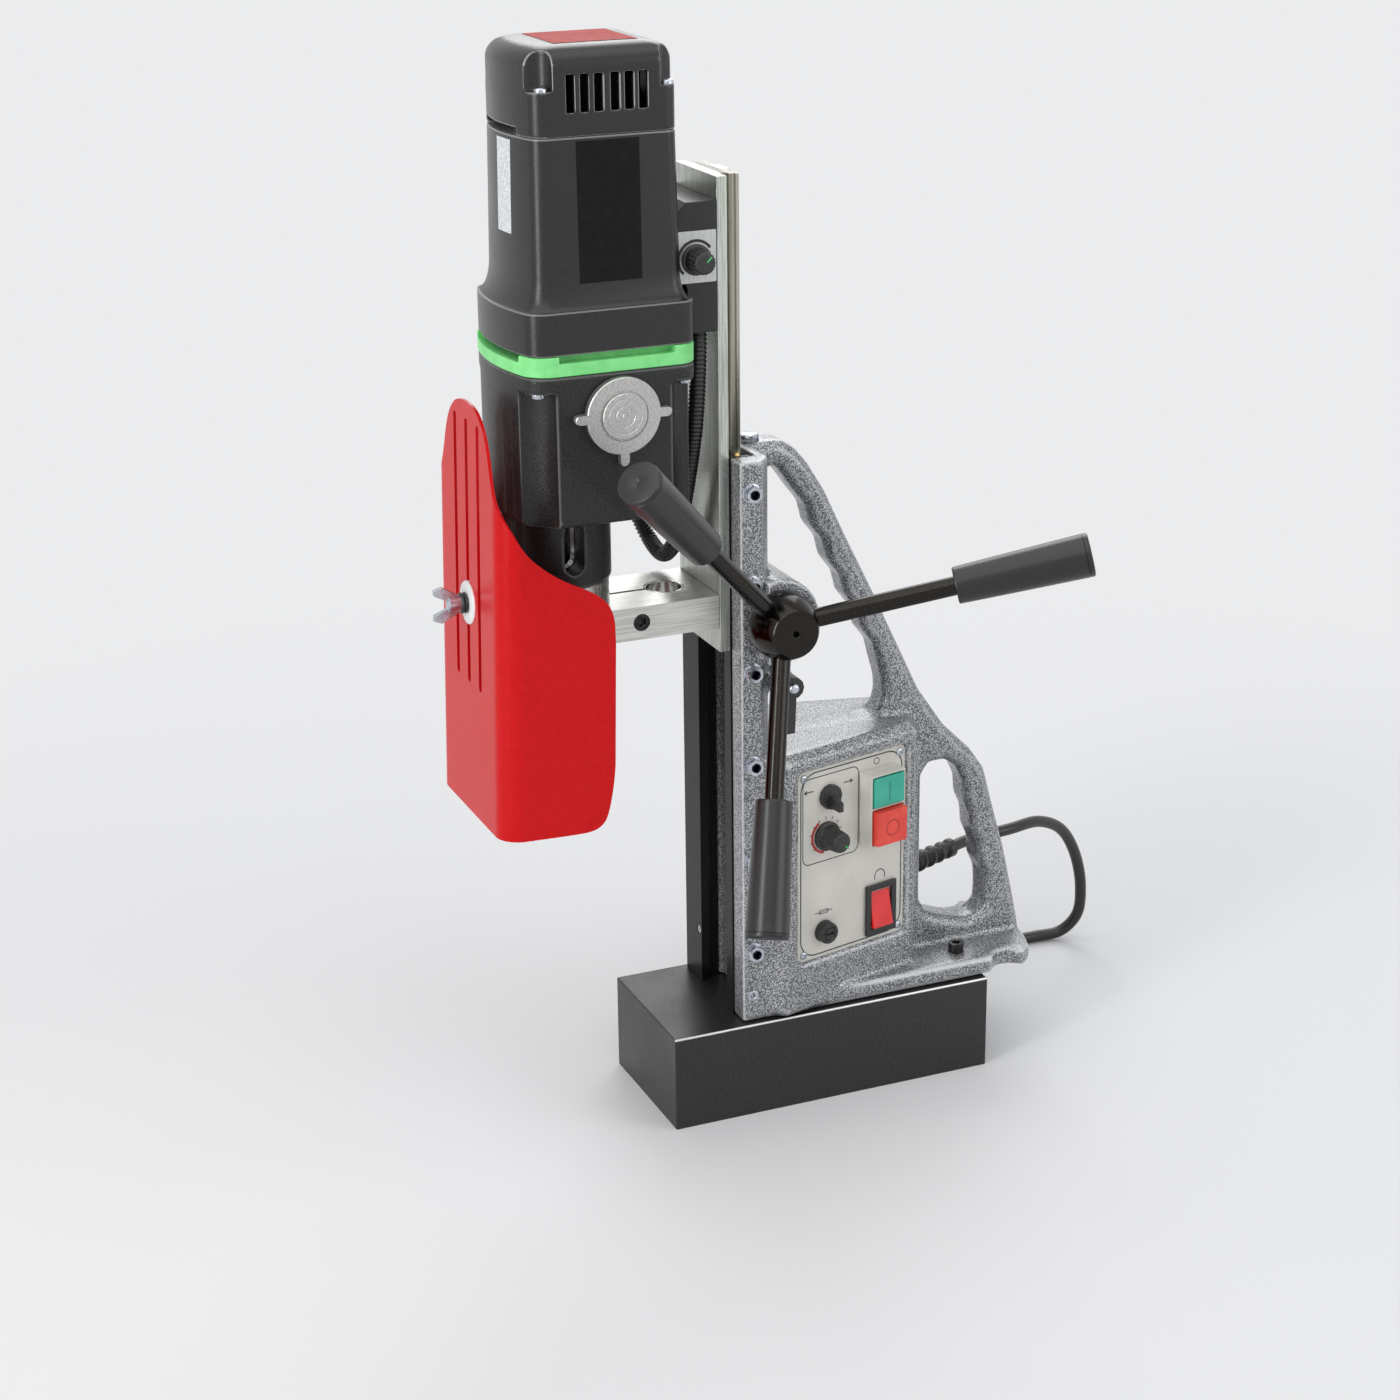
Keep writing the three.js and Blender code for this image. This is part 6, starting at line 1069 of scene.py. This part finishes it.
fit(joined("cap_screws", cap_screws), zinc, "carriage", slot="zinc")


def dome_height(x, y):
    """Height of the cap over a place from its middle: the half width of the level there is the larger of the
    two reaches, the front one found from the bow, and the crown's own law gives the height."""
    front = 1 + bow_share
    ahead = np.where(y < 0, (np.abs(y) + np.sqrt(y ** 2 + 4 * front * bow_share * x ** 2)) / (2 * front), y)
    half = np.maximum(np.abs(x), ahead)
    cosine = (np.maximum(half - cap_flat, 0) / (cap_half - cap_flat)) ** (1 / cap_power)
    return cap_shoulder + cap_rise * np.sqrt(1 - cosine ** 2) + cap_dome * (1 - np.minimum(half / cap_flat, 1) ** 2)


label_x, label_y = np.meshgrid(np.linspace(-26, 26, 41), np.linspace(-25, 25, 41))
label_points = np.stack([label_x, label_y + tower_y, dome_height(label_x, label_y) + 0.22], axis=-1)
sticker_red = finish("sticker_red", (0.36, 0.03, 0.026), (0.43, 0.042, 0.035), 0.55, grain=150.0,
                     Specular_IOR_Level=0.1)
fit(smooth(surface("cap_sticker", label_points / 1000), 40), sticker_red, "carriage", slot="black_plastic")
kept(satin_black, "stator")

# Brush gear: the black moulded ring that carries the motor's brushes, screwed down inside the cap. It is
# seen only as the dark behind the air slots.
brush_rows = ((12, 632), (33, 632), (34, 633), (34, 655), (33, 656), (12, 656))
brush_ring = turned("brush_ring", brush_rows, (0, tower_y, 0), UP, 72, hollow=True)
# Painted shade: the ring's near-black, barely reflecting finish stands in for the dark inside the cap behind the slots.
painted_shade_black = finish("painted_shade_black", 0.002, 0.004, 0.6, Specular_IOR_Level=0.05)
fit(brush_ring, painted_shade_black, "carriage", slot="black_plastic")

# Torque limiter: a black moulded control box between the motor and the slide, with a small ribbed knob on a
# bare pale label with a dark band and ticks.
dress("torque_box", "torque_case", 1.6, housing_black, "black_plastic", "carriage")
torque_label = solid("torque_label", levels_of(rounded_path((-94.2, 533.5), (-70.3, 563.5), 0.5, 4), (33.05, 33.25)))
silver_label = finish("silver_label", (0.5, 0.51, 0.5), (0.6, 0.61, 0.6), 0.3, 0.5, 1500.0, 0.05, 0.00005,
                      stretch=(1, 1, 0.05))
fit(torque_label, silver_label, "carriage", slot="aluminium")
torque_middle = (-83, 547)
band = [ink(arc(torque_middle, 10.9, 35, 225, 36), 1.7, 33.25, place=np.asarray)]
band += ticks(torque_middle, (9.6, 10.2), np.arange(-50, 30, 18), 0.5, out=33.25, place=np.asarray)
fit(joined("torque_marks", band), ink_black, "carriage", slot="black_plastic")
torque_knob = ribbed_knob("torque_knob_body", (33, *torque_middle), NEAR, 9, 2.5, 7, 15)
fit(torque_knob, satin_black, "torque_knob", "torque_knob", slot="black_plastic")
torque_pointer = ink([(-82.2, 547.8), (-79.2, 550.6)], 0.9, 47.95, height=0.1, place=np.asarray, name="torque_pointer")
fit(torque_pointer, green_paint, "torque_knob", slot="black_plastic")

# Conduit: ribbed black nylon tubing that carries the motor leads from the torque box, down beside the slide
# and round into the back of the gearbox. It is pushed into a socket at each end.
conduit_points = np.array((
    (26, -79, 503.9), (26, -79, 493.7), (21, -79.3, 450), (11, -79.5, 417), (1, -80, 390), (-13, -80, 365),
    (-33, -80, 352.6), (-51, -82, 359), (-57.6, -90, 381), (-57.8, -100, 402), (-57.7, -104, 420), (-57.7, -104, 430.2),
)) / 1000
conduit_line = centripetal(conduit_points, 900)
conduit_run = run_of(conduit_line)
rib = 0.5 + 0.5 * np.cos(2 * math.pi * conduit_run / 0.0026)
conduit_rings = carried(conduit_line, 0.0043 + 0.0007 * np.clip(1.6 * rib - 0.3, 0, 1), 16)
conduit = smooth(outward(surface("ribbed_conduit", conduit_rings, loop_columns=True, caps=True)), 60)
conduit_black = finish("conduit_nylon", 0.012, 0.02, 0.28, grain=500.0)
fit(conduit, conduit_black, "carriage", "conduit", slot="cord_rubber")


# Chip guard: one 2 mm steel sheet, folded into a front and two wings round a 12 mm bend, with three upright
# slots for the holder's screw and pins, powder-coated in glossy red. It leans 1.5 degrees with its holder.
def guard_place(points):
    """Points in the guard's own frame, in mm, leaned with the holder and moved to the spindle."""
    x, y, z = np.moveaxis(np.asarray(points, float), -1, 0)
    sine, cosine = math.sin(lean), math.cos(lean)
    return np.stack([x, spindle_y + y * cosine + z * sine, holder_height + z * cosine - y * sine], axis=-1)


lean, holder_height = math.radians(1.5), 348
flat_half, bend_radius, front_face, wing_back, sheet_thick, slot_half = 45.0, 12.0, -54.0, 14.5, 0.002, 2.5
bend_run = bend_radius * math.pi / 2
wing_end = flat_half + bend_run + wing_back - (front_face + bend_radius)
top_knots = ((0, 121), (8, 120.6), (13.7, 119.6), (20, 117.4), (25.7, 113.6), (30, 109.6), (33.4, 105), (37.2, 97.5),
             (40.4, 88.5), (43.6, 80), (47, 73.6), (51, 67.5), (55, 61.5), (59, 55), (65.6, 43.6), (75.8, 33.9),
             (88.1, 25.6), (102.5, 18.4), (110, 14), (115.4, 8.6), (118.6, 2), (120, -6), (wing_end, -15.7))
low_knots = ((0, -132), (60, -132), (98, -132), (104, -131.6), (109.5, -130), (114, -126), (116.6, -119),
             (118.2, -111), (119.6, -101), (wing_end, -92))


def eased_curve(knots, at):
    """Height of a smooth curve through (run, height) knots, at each run."""
    fine = centripetal(np.array([(run, height, 0) for run, height in knots]), 900)
    return np.interp(at, fine[:, 0], fine[:, 1])


def bent(run):
    """Place in plan at a run from the middle of the guard's front: flat, then round the bend, then back."""
    side, run = np.sign(run), np.abs(run)
    turn = np.clip((run - flat_half) / bend_radius, 0, math.pi / 2)
    x = np.minimum(run, flat_half) + bend_radius * np.sin(turn)
    y = front_face + bend_radius * (1 - np.cos(turn)) + np.maximum(run - flat_half - bend_run, 0)
    return side * x, y


bend_end = flat_half + bend_run
stops = ((0, flat_half, 28), (flat_half, bend_end, 14), (bend_end, 108, 26), (108, wing_end, 22))
half_run = np.concatenate([[0], *(np.linspace(*stop)[1:] for stop in stops)])
run = np.concatenate([-half_run[:0:-1], half_run])
low_edge, top_edge = eased_curve(low_knots, np.abs(run)), eased_curve(top_knots, np.abs(run))
height = low_edge + (top_edge - low_edge) * np.linspace(0, 1, 61)[:, None]
sheet_points = np.stack([*(np.broadcast_to(plan, height.shape) for plan in bent(run)), height], axis=-1)
guard = surface("chip_guard", guard_place(sheet_points) / 1000)
thickness = guard.modifiers.new("sheet", "SOLIDIFY")
thickness.thickness, thickness.offset, thickness.use_even_offset = sheet_thick, 1.0, True
settled(guard)
slots = []
for x in (-20.2, 0, 20.2):
    outline = rounded_path((x - slot_half, -49.5), (x + slot_half, 111), slot_half - 0.01, 10)
    slots.append(solid("slot", [guard_place([(a, y, up) for a, up in outline]) for y in (-60, -46)]))
shaped(outward(guard), slots)
guard_red = finish("guard_red", (0.57, 0.004, 0.006), (0.6, 0.005, 0.007), 0.3, 0.0, 260.0, 0.1, 0.00025, 0.05, 2.0,
                   Specular_IOR_Level=0.08, Coat_Weight=0.28, Coat_Roughness=0.18, Coat_IOR=1.35)
fit(eased(guard, 0.45, 2, 40), guard_red, "guard", "guard_sheet", slot="red_guard")

# Guard fixing: an aluminium holder round the nose ring, a zinc wing screw through the middle slot, a thick
# white nylon washer under it and two rubber rings on its shank.
dress("guard_holder", "holder", 0.6, brushed, "aluminium", "carriage")
guard_front = guard_place((0, front_face, 0))
out_of_guard = guard_place((0, -1, 0)) - guard_place((0, 0, 0))
nylon = finish("white_nylon", (0.72, 0.73, 0.73), (0.8, 0.81, 0.81), 0.35, grain=90.0, bump=0.05)
washer_rows = [(12.2, 0.35), (12.8, 0.6), (13, 1.2), (13, 2.4), (12.6, 3.0), (11.8, 3.3), (5.2, 3.35)]
washer = turned("nylon_washer", washer_rows, guard_front, out_of_guard, 72)
fit(washer, nylon, "wing_screw", "guard_washer", slot="white_washer")
ring_parts = []
for level in (4.3, 6.5):
    tube = [(5.4 + 0.95 * math.cos(s), level + 0.95 * math.sin(s)) for s in around(16)]
    ring_parts.append(turned("rubber_ring", tube, guard_front, out_of_guard, 48, hollow=True))
fit(smooth(joined("rubber_rings", ring_parts), 60), cord_rubber, "wing_screw", slot="cord_rubber")
dress("guard_wing_screw", "wing_screw_head", 1.1, zinc, "zinc", "wing_screw", 4)

# Feed handle: a turned steel hub on the pinion shaft with three screwed-in steel spokes, all blacked, and a
# black moulded grip pressed on the end of each spoke.
axis_y, axis_z = -40.0, 328.0
hub_rows = [(19, 0), (20.4, 0.4), (21.2, 1.4), (21.3, 3.5), (21.1, 6), (20.6, 9), (19.8, 12), (18.8, 15), (17.6, 18),
            (16.4, 20.5), (15.4, 22.3), (15, 23), (14.3, 23.6), (2.6, 23.7), (2.0, 23.3), (1.9, 20)]
spoke_rows = [(5.8, 12), (5.8, 60), (5.8, 104), (5.8, 140.4), (5.2, 141)]
grip_rows = [(6.0, 105.2), (10.2, 105), (10.9, 105.3), (11.2, 106)]
grip_rows += [(11.2 + 2.0 * s ** 0.9, 106.5 + 75.5 * s) for s in np.linspace(0, 1, 14)]
grip_rows += [(13.3, 183), (13.3, 183.4), (12.9, 183.6), (12.9, 183.9), (13.25, 184.1), (13.2, 186), (12.8, 186.7),
              (12.0, 187), (3.2, 187.2), (1.5, 186.8), (0.7, 186.2)]
blacked = finish("blacked_steel", (0.028, 0.026, 0.024), (0.036, 0.033, 0.03), 0.14, 1.0, 900.0, 0.03, 0.0001, 0.08,
                 2.0)
grip_black = finish("grip_moulding", 0.01, (0.015, 0.015, 0.0145), 0.3, 0.0, 1100.0, 0.02, 0.0001, 0.03, 2.0)
hub = turned("feed_hub", hub_rows, (54.3, axis_y, axis_z), NEAR, 96)
fit(hub, blacked, "capstan", "capstan_hub", slot="black_screws")
for number in range(3):
    angle, tilt = math.radians(134.8 - 120 * number), math.radians(23.7)
    outwards = (math.sin(tilt), math.cos(tilt) * math.cos(angle), math.cos(tilt) * math.sin(angle))
    root = (58.5, axis_y, axis_z)
    spoke = turned(f"spoke_rod_{number + 1}", spoke_rows, root, outwards, 48)
    fit(spoke, blacked, "capstan", f"spoke_{number + 1}", slot="black_screws")
    grip = turned(f"grip_{number + 1}", grip_rows, root, outwards, 72, angle=32)
    fit(grip, grip_black, "capstan", f"spoke_grip_{number + 1}", slot="grip_plastic")

# Inside the housing: the control circuit on a green glass-fibre board, which stands upright behind the panel
# and is hidden by it.
board_green = finish("board_green", (0.01, 0.09, 0.04), (0.02, 0.16, 0.07), 0.35, grain=250.0, bump=0.1)
kept(board_green, "circuit_board")
